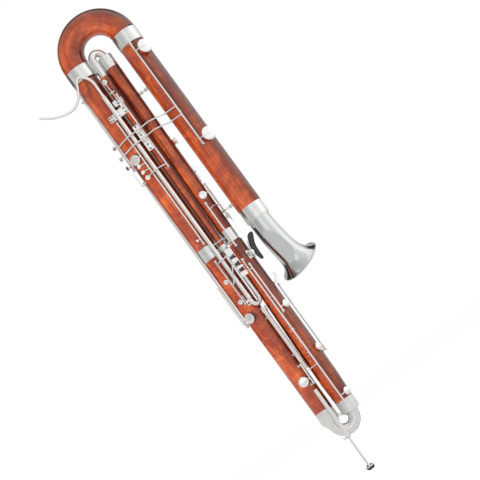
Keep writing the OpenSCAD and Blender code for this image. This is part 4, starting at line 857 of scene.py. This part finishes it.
@dataclass
class WoodenBend:
    """The wooden U-bend on top, its two tenons and its two tall ferrules."""

    tubes: Tubes = Tubes()
    arc_z: float = 1233.5
    arc_steps: int = 56
    radius: float = 34.0
    leg_gap: float = 0.3
    ferrule_r: float = 34.8
    ferrule_h: float = 38.0
    ferrule_wall: float = 1.6
    ferrule_lows: Span = (1188.0, 1195.0)
    ferrule_edge: Outline = ((0, -0.5), (0.4, 0), (2.2, 0), (2.5, -0.25), (3.4, -0.25), (3.7, 0))
    screw: Outline = ((0, 1.6), (0.9, 1.6), (1.3, 1.1), (1.3, 0.0), (0, 0.0))
    screw_root: float = 0.5
    screw_sides: int = 20
    edge: float = 0.0005
    tenon_r: float = 33.12
    tenon_bore: float = 22.0
    tenon_lows: Span = (1200.35, 1208.35)
    tenon_edge: Outline = ((0, -0.7), (0.7, 0), (6.0, 0), (6.3, -0.4), (7.3, -0.4), (7.6, 0))
    tenon_reach: float = 0.4
    tenon_number: int = 9
    chamfer: float = 0.6

    def bend(self) -> BMesh:
        """Half ring of wood with a short straight leg under each end.

        Returns:
            The mesh.
        """
        left, right, y = self.tubes.long.x, self.tubes.bell.x, self.tubes.long.y
        centre = Vector(((left + right) / 2, y, self.arc_z))
        reach = (right - left) / 2
        arc = [math.pi * i / self.arc_steps for i in range(self.arc_steps + 1)]
        legs = [low + self.ferrule_h + self.leg_gap for low in self.ferrule_lows]
        path = [centre + reach * Vector((-math.cos(turn), 0, math.sin(turn))) for turn in arc]
        path = [Vector((left, y, legs[0])), *path, Vector((right, y, legs[1]))]
        axes = [Matrix.Rotation(turn, 4, "Y") for turn in (0.0, *arc, math.pi)]
        return sweep(path, [(self.radius, self.radius)] * len(path), LARGE_SIDES, axes)

    def tenons(self) -> BMesh:
        """Turned tenons that go into the two ferrules, with a groove near each end.

        Returns:
            The mesh.
        """
        bore, shown = self.tenon_bore, []
        for tube, low, ferrule in zip((self.tubes.long, self.tubes.bell), self.tenon_lows, self.ferrule_lows):
            high = ferrule + self.ferrule_h + self.tenon_reach
            side = [(low + up, self.tenon_r + out) for up, out in self.tenon_edge]
            side = [(low, bore + self.chamfer), *side, (high, self.tenon_r)]
            outline = [*side, (high, bore), (low + self.chamfer, bore)]
            shown.append(lathe([outline], tube.place(), LARGE_SIDES))
        return merged(shown)

    def ferrules(self) -> BMesh:
        """Two grooved bands, each with a screw head in front.

        Returns:
            The mesh.
        """
        r, shown = self.ferrule_r, []
        for tube, low in zip((self.tubes.long, self.tubes.bell), self.ferrule_lows):
            high = low + self.ferrule_h
            outline = [(low + up, r + out) for up, out in self.ferrule_edge]
            outline += [(high - down, r + out) for down, out in reversed(self.ferrule_edge)]
            outline += [(high, r - self.ferrule_wall), (low, r - self.ferrule_wall)]
            shown.append(lathe([outline], tube.place(), LARGE_SIDES))
            front = facing(tube.x, tube.y, (low + high) / 2, 0, r - self.screw_root)
            shown.append(lathe([self.screw], front, self.screw_sides))
        return merged(shown)

    def build(self, bench: Bench) -> None:
        """Make the bend, its tenons and its ferrules.

        Args:
            bench: where they go.
        """
        made = bench.finishes
        bench.stand_in("u_bend", self.bend(), made.bent_maple(), "wooden bend", edge=self.edge)
        bench.add_to("u_bend", self.tenons(), made.maple(self.tenon_number), "tenons of the bend")
        bench.stand_in("u_bend_ferrules", self.ferrules(), made.get(Finish.FERRULES), "bend ferrules")


@dataclass
class Bell:
    """The flared metal bell that turns to the right and back, with its wired rim."""

    top: Triple = (134.8, 29.0, 651.7)
    length: float = 150.0
    bend: float = 28.0
    turn: float = 55.0
    neck_r: float = 28.3
    cone: float = 4.0
    flare: float = 26.0
    flare_power: int = 10
    rim_d: float = 4.4
    rim_sides: int = 20
    lip: float = 0.6
    wall: float = 1.5
    stations: int = 44
    crowding: float = 1.7

    def radius(self, t: float) -> float:
        """Outer radius at t from neck 0 to mouth 1."""
        return self.neck_r + self.cone * t + self.flare * t ** self.flare_power

    def place(self, t: float) -> tuple[Vector, Matrix]:
        """Centre and turn of the ring at t.

        Args:
            t: place along the bell, 0 at the neck.

        Returns:
            The centre in millimetres and the ring's turn.
        """
        angle = math.radians(self.bend)
        side = Vector((math.cos(math.radians(self.turn)), math.sin(math.radians(self.turn)), 0))
        centre = Vector(self.top) + side * self.length * (1 - math.cos(angle * t)) / angle
        centre.z -= self.length * math.sin(angle * t) / angle
        axis = side * math.sin(angle * t) - Vector((0, 0, math.cos(angle * t)))
        across = Vector((-side.y, side.x, 0))
        turn = Matrix((across, axis.cross(across), axis)).transposed().to_4x4()
        return centre, turn

    def wall_of_metal(self) -> BMesh:
        """The flared wall, swept down outside and up inside, and closed at the neck.

        Returns:
            The mesh.
        """
        steps = [1 - (1 - i / self.stations) ** self.crowding for i in range(self.stations + 1)]
        steps = [t for t in steps if t < 0.9995] + [1.0]
        rings = [(self.place(t), self.radius(t) if t < 1 else self.radius(1) - self.lip) for t in steps]
        rings += [(self.place(t), self.radius(t) - self.wall) for t in reversed(steps)]
        mesh = sweep([place[0] for place, _ in rings], [(r, r) for _, r in rings], LARGE_SIDES,
                     [place[1] for place, _ in rings], caps=False)
        bmesh.ops.bridge_loops(mesh, edges=[edge for edge in mesh.edges if edge.is_boundary])
        bmesh.ops.recalc_face_normals(mesh, faces=mesh.faces)
        return mesh

    def rim(self) -> BMesh:
        """The wire that stiffens the mouth.

        Returns:
            The mesh.
        """
        centre, turn = self.place(1.0)
        wire_r = self.rim_d / 2
        mouth = self.radius(1) - wire_r
        turns = [2 * math.pi * i / self.rim_sides for i in range(self.rim_sides)]
        wire = [(wire_r * math.sin(angle), mouth + wire_r * math.cos(angle)) for angle in turns]
        return lathe([wire], Matrix.Translation(centre) @ turn, LARGE_SIDES)

    def build(self, bench: Bench) -> None:
        """Make the bell with its rim."""
        bench.stand_in("bell", merged([self.wall_of_metal(), self.rim()]), bench.finishes.get(Finish.BELL))


@dataclass
class Bocal:
    """The long curved metal tube that takes the reed."""

    base: Triple = (0.8, -8.0, 1120.3)
    root_r: float = 4.0
    tip_r: float = 2.7
    steps: int = 7
    sides: int = 28
    plug_r: float = 3.9
    plug_length: float = 17.0
    sleeve: Outline = ((0.2, 2.8), (9.6, 2.8), (10.0, 2.6))
    bore: Outline = ((10.0, 1.6), (2.0, 1.5))
    collar_rise: float = 1.1
    collar: Outline = ((0, 4.05), (0.5, 4.9), (3.5, 4.9), (4.1, 4.5), (5.0, 4.4), (5.3, 4.0), (5.3, 3.0),
                       (0, 3.0))
    line: tuple[Triple, ...] = (
        (0, 0, 1), (0, 0, 23), (0, -1, 42), (-4, -3, 58), (-13, -7, 69), (-24, -12, 73), (-33, -17, 65),
        (-42, -23, 45), (-50, -29, 29), (-63, -37, 15), (-81, -47, 6), (-101, -58, 5), (-127, -70, 11),
        (-147, -78, 23))

    def build(self, bench: Bench) -> None:
        """Make the tube with its plug, open tip and collar.

        Args:
            bench: where they go.
        """
        path = [Vector(self.base) + point for point in smooth_path(self.line, self.steps)]
        last = len(path) - 1
        end, way = path[-1], (path[-1] - path[-2]).normalized()
        radii = [self.root_r + (self.tip_r - self.root_r) * i / last for i in range(last + 1)]
        path = [path[0] - Vector((0, 0, self.plug_length)), *path]
        radii = [self.plug_r, *radii]
        for reach, r in (*self.sleeve, *self.bore):
            path.append(end + reach * way)
            radii.append(r)
        tube = sweep(path, [(r, r) for r in radii], self.sides)
        collar = lathe([self.collar], upright(*self.base[:2], self.base[2] + self.collar_rise), MIDDLE_SIDES)
        bench.stand_in("bocal", merged([tube, collar]), bench.finishes.get(Finish.RODS))


@dataclass
class HandRest:
    """The black crutch of the right hand, curved like a comma."""

    size: float = 8.6
    depth: float = 1.1
    least: float = 0.6
    steps: int = 3
    sides: int = 32
    edge: float = 0.0012
    foot: float = 28.0
    line: tuple[Triple, ...] = (
        (14.6, 44, 0.35), (13.8, 42.5, 0.72), (11.6, 38, 0.98), (8.6, 31, 1), (6, 25, 0.94), (3.4, 18, 0.9),
        (1.5, 11, 0.87), (0.7, 3, 0.84), (0.5, -5, 0.8), (1.1, -13, 0.7), (2.2, -21, 0.58), (2.8, -26, 0.42),
        (3, -28, 0.2))

    def build(self, bench: Bench) -> None:
        """Make the crutch where its CAD node is.

        Args:
            bench: where it goes.
        """
        low, high = (Vector(corner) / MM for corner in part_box("hand_rest_crutch"))
        left = low.x - min(x - self.size * share for x, _, share in self.line)
        path, sizes = [], []
        for x, z, share in smooth_path(self.line, self.steps):
            path.append(Vector((left + x, (low.y + high.y) / 2, low.z + self.foot + z)))
            wide = self.size * share
            sizes.append((max(wide, self.least), max(wide * self.depth, self.least)))
        mesh = sweep(path, sizes, self.sides, [Matrix.Identity(4)] * len(path))
        bench.stand_in("hand_rest_crutch", mesh, bench.finishes.get(Finish.RESIN), edge=self.edge)


@dataclass(frozen=True)
class Cup:
    """One pad cup: its node, tube, height, angle from the front, width, and how far it stands open."""

    node: str
    tube: Tube
    z: float
    angle: float
    d: float
    hinge: Span = (0.0, 0.0)
    swing: float = 0.0
    seat: float = 3.3
    floor: float = 1.15
    crown_more: float = 0.12
    pad_less: float = 0.9
    skirt: Outline = ((1.15, -1.2), (1.1, -0.2), (1.2, 0), (1.9, 0), (2.05, -0.18), (2.5, -0.18), (3.4, -0.3),
                      (4.0, -1.0), (4.4, -2.2))
    dome: Outline = ((4.75, 0.55), (4.95, 0.25), (5.0, 0))
    pad_edge: Outline = ((0.02, -1.0), (0.2, -0.3), (0.6, 0), (1.25, 0))

    def place(self) -> Matrix:
        """Place of the pad's face, with its axis pointing out of the tube.

        Returns:
            The matrix, in millimetres.
        """
        hinge = Matrix.Translation((*self.hinge, 0))
        turn = hinge @ Matrix.Rotation(math.radians(self.swing), 4, "Z") @ hinge.inverted()
        return turn @ self.tube.facing(self.z, self.angle, self.seat)

    def crown(self) -> BMesh:
        """Spun metal cup with a beaded skirt and a domed top.

        Returns:
            The mesh.
        """
        r = self.d / 2 + self.crown_more
        skirt = [(up, r + out) for up, out in self.skirt]
        dome = [(up, r * share) for up, share in self.dome]
        return lathe([[(self.floor, 0.0), *skirt, *dome]], self.place(), MIDDLE_SIDES)

    def pad(self) -> BMesh:
        """Soft pad that fills the cup and stands a little proud of it.

        Returns:
            The mesh.
        """
        r = self.d / 2 - self.pad_less
        side = [(up, r + out) for up, out in self.pad_edge]
        return lathe([[(side[0][0], 0), *side, (side[-1][0], 0)]], self.place(), MIDDLE_SIDES)


@dataclass
class PadCups:
    """Crowns and pads of all the keys."""

    tubes: Tubes = Tubes()
    bell_hinge: Span = (132.26, -9.9)

    def cups(self) -> list[Cup]:
        """Every pad cup of the instrument.

        Returns:
            The cups with their places.
        """
        t = self.tubes
        return [
            Cup("bell_key_upper", t.bell, 1166, 36, 36, self.bell_hinge, -10),
            Cup("bell_key_lower", t.bell, 892, 36, 36, self.bell_hinge, -10),
            Cup("octave_cup", t.first, 1150, -20, 14),
            Cup("finger_key_one", t.long, 945, -24, 26, t.finger_hinge(), 8),
            Cup("thumb_key_upper", t.long, 1150, -116, 18),
            Cup("thumb_key_lower", t.long, 463, -22, 26, t.low_thumb_hinge(), -8),
            Cup("little_key_one", t.long, 568, -16, 12),
            Cup("little_key_two", t.long, 508, -16, 12),
            Cup("little_key_three", t.middle, 185, 38, 20),
            Cup("little_key_four", t.middle, 442, 40, 20),
            Cup("link_key", t.long, 262, 3, 25),
            Cup("right_thumb_key", t.middle, 311, 52, 22),
            Cup("side_key", t.middle, 777, 10, 20),
            Cup("back_key", t.middle, 932, 88, 18, t.back_hinge(), 8),
        ]

    def build(self, bench: Bench) -> None:
        """Make a crown and a pad for each cup.

        Args:
            bench: where they go.
        """
        made = bench.finishes
        for cup in self.cups():
            name = cup.node.replace("_", " ")
            bench.add_to(cup.node, cup.crown(), made.get(Finish.CUPS), f"{name} cup crown")
            bench.add_to(cup.node, cup.pad(), made.get(Finish.PADS), f"{name} pad")


@dataclass(frozen=True)
class PostRow:
    """Posts that carry one hinge line: name, line, tube, heights and which post holds the needle spring."""

    name: str
    hinge: Span
    tube: Tube
    heights: tuple[float, ...]
    sprung: int = 0


@dataclass(frozen=True)
class SlottedHead:
    """Cheese head of a screw: radius and height, and its rounding, slot and slot floor as shares of them."""

    r: float
    h: float
    rounding: float = 0.22
    slot: float = 0.16
    slot_floor: float = 0.42
    flatten: float = 0.02

    def mesh(self, place: Matrix) -> BMesh:
        """Extruded disc with a rounded rim and a sunk slot.

        Args:
            place: where its underside sits, in millimetres, with the head along +Z.

        Returns:
            The mesh, in metres and in place.
        """
        mesh = bmesh.new()
        bmesh.ops.create_circle(mesh, segments=SMALL_SIDES, radius=self.r, cap_ends=True)
        grown = bmesh.ops.extrude_face_region(mesh, geom=list(mesh.faces))["geom"]
        top = [part for part in grown if isinstance(part, bmesh.types.BMVert)]
        bmesh.ops.translate(mesh, vec=(0, 0, self.h), verts=top)
        rim = [edge for edge in mesh.edges if all(vert in top for vert in edge.verts)]
        bmesh.ops.bevel(mesh, geom=rim, offset=self.rounding * self.h, segments=2, profile=0.5,
                        affect="EDGES", material=-1)
        half = self.slot * self.r
        for side in (-half, half):
            bmesh.ops.bisect_plane(mesh, geom=[*mesh.verts, *mesh.edges, *mesh.faces], plane_co=(side, 0, 0),
                                   plane_no=(1, 0, 0))
        middles = [(face, face.calc_center_median()) for face in mesh.faces]
        floor = [face for face, spot in middles if abs(spot.x) < 0.5 * half and spot.z > 0.55 * self.h]
        sunk = bmesh.ops.extrude_face_region(mesh, geom=floor)["geom"]
        bmesh.ops.delete(mesh, geom=floor, context="FACES_ONLY")
        verts = [part for part in sunk if isinstance(part, bmesh.types.BMVert)]
        bmesh.ops.scale(mesh, vec=(1, 1, self.flatten), verts=verts)
        bmesh.ops.translate(mesh, vec=(0, 0, self.slot_floor * self.h), verts=verts)
        bmesh.ops.recalc_face_normals(mesh, faces=mesh.faces)
        bmesh.ops.transform(mesh, matrix=Matrix.Scale(MM, 4) @ place, verts=mesh.verts)
        return mesh


@dataclass
class Fittings:
    """Ball heads and turned feet of the posts, slotted screws and needle springs."""

    tubes: Tubes = Tubes()
    head_r: float = 3.34
    head_bore: Span = (2.3, 1.35)
    head: Outline = ((-2.3, 0.66), (-1.8, 0.84), (-1.0, 0.96), (0, 1.0), (1.0, 0.96), (1.8, 0.84),
                     (2.3, 0.66))
    foot_r: float = 3.8
    foot_gap: float = 0.15
    foot: Outline = ((0, -0.15), (0.4, 0), (0.8, -0.1), (1.15, -0.5), (1.35, -1.2), (2.0, -1.75),
                     (3.0, -2.05), (3.4, -2.1))
    foot_bore: float = 1.4
    pivot: SlottedHead = SlottedHead(1.95, 0.9)
    plate_screw: SlottedHead = SlottedHead(2.3, 0.7)
    plate_h: float = 0.9
    spring_r: float = 0.35
    spring_tip_r: float = 0.2
    spring_rise: float = 15.0
    spring_in: float = 3.4
    spring_aside: float = 2.5
    spring_tail: float = 2.0
    spring_end: float = 0.6
    spring_bow: float = 0.5
    spring_sides: int = 8
    pivot_sunk: float = 0.1
    screw_crease: float = 40.0
    clamp_z: float = 1064.0
    clamp_out: float = 2.7
    saddle_z: float = 1017.0
    saddle_out: float = 2.6

    def rows(self) -> list[PostRow]:
        """Every row of posts.

        Returns:
            The rows, each on its tube.
        """
        t = self.tubes
        octave_hinge = (t.first.axis_x(980) + 3, t.first.y - t.first.radius(1040) - 9.6)
        return [
            PostRow("bell keys", t.bell.out(1190, 39.0, -4), t.bell, (879, 978, 1190), sprung=1),
            PostRow("octave key", octave_hinge, t.first, (884, 1106)),
            PostRow("finger keys", t.finger_hinge(), t.long, (677, 915, 1046)),
            PostRow("upper thumb key", t.long.beside(1170, 4.2, -70), t.long, (930, 1172)),
            PostRow("lower thumb key", t.low_thumb_hinge(), t.long, (450, 889)),
            PostRow("left little keys", t.long.beside(660, 7, -1.5), t.long, (498, 559, 624)),
            PostRow("long right tube", (41.4, -4.0), t.middle, (166, 381, 590)),
            PostRow("short right tube", (50.4, -4.0), t.middle, (430, 571)),
            PostRow("link key", (7.2, -2.0), t.long, (247, 300)),
            PostRow("right thumb key", t.middle.out(500, 30.6, 92), t.middle, (296, 500)),
            PostRow("side key", t.middle.out(700, 25.6, 86), t.middle, (700, 800)),
            PostRow("transfer key", (50.0, -0.5), t.middle, (628, 756)),
            PostRow("back key", t.back_hinge(), t.middle, (816, 952)),
        ]

    def post(self, row: PostRow, z: float) -> list[BMesh]:
        """Ball head and turned foot of one post.

        Args:
            row: the post's row.
            z: its height.

        Returns:
            The two meshes.
        """
        reach, bore = self.head_bore
        head = [(-reach, bore), *((up, share * self.head_r) for up, share in self.head), (reach, bore)]
        foot = [(up, self.foot_r + out) for up, out in self.foot]
        foot = [(foot[0][0], self.foot_bore), *foot, (foot[-1][0], self.foot_bore)]
        angle = math.degrees(math.atan2(row.hinge[0] - row.tube.axis_x(z), row.tube.y - row.hinge[1]))
        ground = row.tube.facing(z, angle, self.foot_gap)
        return [lathe([head], upright(*row.hinge, z), SMALL_SIDES), lathe([foot], ground, SMALL_SIDES)]

    def pivots(self, row: PostRow) -> list[BMesh]:
        """Pivot screws at both ends of a hinge line, turned by chance.

        Args:
            row: the row of posts.

        Returns:
            The two meshes.
        """
        turn = chance_turn()
        reach = self.head_bore[0] - self.pivot_sunk
        top = Matrix.Translation((*row.hinge, row.heights[-1] + reach))
        low = Matrix.Translation((*row.hinge, row.heights[0] - reach)) @ Matrix.Rotation(math.pi, 4, "X")
        return [self.pivot.mesh(place @ turn) for place in (top, low)]

    def spring(self, row: PostRow) -> BMesh:
        """Needle spring that leans from its post to the key's rod.

        Args:
            row: the row of posts.

        Returns:
            The mesh.
        """
        z = row.heights[row.sprung]
        x, y = row.hinge
        way = Vector((x - row.tube.axis_x(z), y - row.tube.y, 0)).normalized()
        across = Vector((-way.y, way.x, 0))
        root = Vector((x, y, z)) - way * self.spring_in
        tip = Vector((x, y, z + self.spring_rise)) - way * self.spring_end + across * self.spring_aside
        path = [root - across * self.spring_tail, root, (root + tip) / 2 + across * self.spring_bow, tip]
        sizes = [(self.spring_r, self.spring_r)] * 3 + [(self.spring_tip_r, self.spring_tip_r)]
        return sweep(path, sizes, self.spring_sides)

    def plate_screws(self) -> dict[str, list[Triple]]:
        """Places of the screws of the two plates.

        Returns:
            For each plate: sideways, front of the plate, height.
        """
        long, first = self.tubes.long, self.tubes.first
        long_x, first_x = long.x, first.axis_x(self.clamp_z)
        clamp_y = long.y - long.radius(self.clamp_z) - self.clamp_out
        saddle_y = first.y - first.radius(self.saddle_z) - self.saddle_out
        pairs = (((long_x - 5.5, long_x + 0.5), (1059, 1067)), ((first_x - 5, first_x + 1), (1059, 1070)),
                 ((first_x - 7, first_x + 3), (1087, 1094)))
        return {"leadpipe_clamp": [(x, clamp_y, z) for xs, zs in pairs for x in xs for z in zs],
                "lever_saddle": [(21.0, saddle_y, z) for z in (947, 960, 988, 1013)]}

    def plate_heads(self, places: Iterable[Triple]) -> list[BMesh]:
        """Screw heads on a plate, each turned by chance.

        Args:
            places: where they sit.

        Returns:
            The meshes.
        """
        fronts = (facing(x, y - self.plate_h, z, 0, 0) for x, y, z in places)
        return [self.plate_screw.mesh(front @ chance_turn()) for front in fronts]

    def build(self, bench: Bench) -> None:
        """Make the fittings of every row of posts and of both plates.

        Args:
            bench: where they go.
        """
        plate, steel = bench.finishes.get(Finish.KEYS), bench.finishes.get(Finish.SPRINGS)
        springs = []
        for row in self.rows():
            posts = [mesh for z in row.heights for mesh in self.post(row, z)]
            bench.add_to("key_posts", merged(posts), plate, f"posts of the {row.name}")
            screws = merged(self.pivots(row))
            bench.add_to("key_posts", screws, steel, f"pivot screws of the {row.name}", self.screw_crease)
            springs.append(self.spring(row))
        bench.add_to("key_posts", merged(springs), steel, "needle springs")
        for node, places in self.plate_screws().items():
            name = f"slotted screws of the {node.replace('_', ' ')}"
            bench.add_to(node, merged(self.plate_heads(places)), steel, name, self.screw_crease)


@dataclass
class CarriedNodes:
    """CAD nodes that keep their shape and get smooth surfaces, rounded edges and a finish."""

    satin: tuple[str, ...] = ("long_joint_ferrule", "middle_joint_ferrule", "middle_joint_cap", "bottom_bow",
                              "first_joint_ferrules", "bell_ferrule", "bell_tenon", "top_bow")
    drawn: tuple[str, ...] = ("leadpipe", "tuning_bow", "receiver", "endpin", "endpin_tube", "drip_tube")
    resin: tuple[str, ...] = ("roller_one", "roller_two", "roller_three")
    rubber: tuple[str, ...] = ("endpin_tip",)
    wood: tuple[str, ...] = ("tone_hole_rings",)
    wood_number: int = 7

    def finish_of(self, node: str) -> Finish:
        """Finish of a node that isn't wood; keys, levers, braces and screws are plated.

        Args:
            node: the CAD node.

        Returns:
            Its finish.
        """
        groups = {Finish.FERRULES: self.satin, Finish.RODS: self.drawn, Finish.RESIN: self.resin,
                  Finish.RUBBER: self.rubber}
        return next((finish for finish, nodes in groups.items() if node in nodes), Finish.KEYS)

    def build(self, bench: Bench) -> None:
        """Dress every node that no other piece stands for.

        Args:
            bench: where they go.
        """
        made = bench.finishes
        for node in sorted(node for node, shown in bench.frame["nodes"].items() if not shown.hide_render):
            if node in self.wood:
                bench.smooth_node(node, made.maple(self.wood_number))
            else:
                bench.smooth_node(node, made.get(self.finish_of(node)))


@dataclass(frozen=True)
class Lamp:
    """Soft rectangular lamp: its name, place and size in metres, and power in watts."""

    name: str
    place: Triple
    size: Span
    power: float
    aim: Triple = (0.06, 0.0, 0.7)

    def build(self) -> None:
        """Hang the lamp so that it faces the instrument and isn't mirrored in it."""
        data = bpy.data.lights.new(self.name, "AREA")
        data.shape = "RECTANGLE"
        data.size, data.size_y = self.size
        data.energy = self.power
        put_in(self.name, data, looking(self.place, self.aim)).visible_glossy = False


@dataclass
class Studio:
    """Pale floor, soft lamps, white surround and the camera."""

    eye: Triple = (0.066, -3.087, 0.283)
    aim: Triple = (0.066, 0.029, 0.6355)
    roll: float = 36.0
    lens: float = 95.25
    surround: float = 0.02
    mirrored: tuple[Span, ...] = ((0.0, 0.5), (0.12, 0.6), (0.18, 0.04), (0.33, 0.04), (0.41, 0.95),
                                  (0.66, 1.0), (0.72, 0.76), (0.955, 0.74), (0.985, 1.02))
    gain: tuple[Span, Span] = ((-0.8, 0.8), (0.7, 1.3))
    right_side: tuple[Span, Span] = ((0.5, 0.8), (0.0, 0.8))
    floor_size: float = 12.0
    floor_colour: tuple[float, ...] = (0.8, 0.8, 0.8, 1)
    floor_mirrored: float = 0.74
    floor_glow: tuple[Span, Span] = ((1.5, 7.0), (0.88, 1.0))
    lamps: tuple[Lamp, ...] = (
        Lamp("key lamp", (-2.1, -2.3, 0.5), (0.5, 1.0), 220),
        Lamp("front lamp", (0.2, -3.0, 0.2), (0.5, 0.7), 55),
        Lamp("side lamp", (2.4, 0.3, 0.9), (0.5, 1.8), 16),
        Lamp("back lamp", (0.1, 2.7, 1.2), (0.7, 1.4), 90))

    def camera(self) -> None:
        """Camera at the photograph's angle."""
        data = bpy.data.cameras.new("camera")
        data.lens = self.lens
        data.sensor_width = 36.0
        data.clip_end = 60.0
        roll = Matrix.Rotation(math.radians(-self.roll), 4, "Z")
        bpy.context.scene.camera = put_in("camera", data, looking(self.eye, self.aim) @ roll)

    def world(self) -> None:
        """White surround for the camera; dimmer, with grey and dark bands, for light and reflections."""
        world = bpy.data.worlds.new("studio")
        bpy.context.scene.world = world
        graph = Graph(world)
        graph.nodes.clear()
        way = graph.add("SeparateXYZ", graph.add("TexCoord").outputs["Generated"]).outputs
        depth = graph.spread(way["Y"], (1.0, -1.0), (0.0, 1.0))
        bands = graph.ramp(depth, [(where, (grey, grey, grey)) for where, grey in self.mirrored])
        lifted = graph.work("MAXIMUM", bands, graph.spread(way["X"], *self.right_side))
        mirrored = graph.add("Background", lifted, graph.spread(way["X"], *self.gain))
        dim = graph.add("Background", strength=self.surround)
        graph.by_ray(dim, mirrored, graph.add("Background", (1, 1, 1, 1)))

    def floor_paint(self) -> Material:
        """Paint that looks white where no shadow falls, and grey in reflections.

        Returns:
            The material.
        """
        material = bpy.data.materials.new("pale floor")
        graph = Graph(material)
        graph.nodes.clear()
        reach = graph.add("VectorMath", graph.add("TexCoord").outputs["Object"])
        reach.operation = "LENGTH"
        glow = graph.add("Emission", strength=graph.spread(reach.outputs["Value"], *self.floor_glow))
        plain = graph.add("BsdfDiffuse", self.floor_colour)
        grey = graph.add("Emission", strength=self.floor_mirrored)
        graph.by_ray(plain, grey, graph.add("AddShader", plain.outputs[0], glow.outputs[0]))
        return material

    def floor(self) -> None:
        """Flat floor under the endpin."""
        mesh = bmesh.new()
        bmesh.ops.create_grid(mesh, x_segments=1, y_segments=1, size=self.floor_size)
        data = bpy.data.meshes.new("floor")
        mesh.to_mesh(data)
        mesh.free()
        data.materials.append(self.floor_paint())
        put_in("floor", data)

    def build(self) -> None:
        """Set up the whole studio."""
        bpy.context.scene.view_settings.view_transform = "Standard"
        self.world()
        self.floor()
        for lamp in self.lamps:
            lamp.build()
        self.camera()


def main() -> None:
    """Load the frame, dress it and set up the studio."""
    logging.basicConfig(level=logging.INFO, format="%(name)s: %(message)s")
    random.seed(7)
    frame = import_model()
    bench = Bench(frame)
    parts = (WoodenJoints(), WoodenBend(), Bell(), Bocal(), HandRest(), PadCups(), Fittings(), CarriedNodes())
    for part in parts:
        LOG.info("building %s", type(part).__name__)
        part.build(bench)
    LOG.info("%d pieces on the instrument", bench.count)
    Studio().build()


if __name__ == "__main__":
    main()
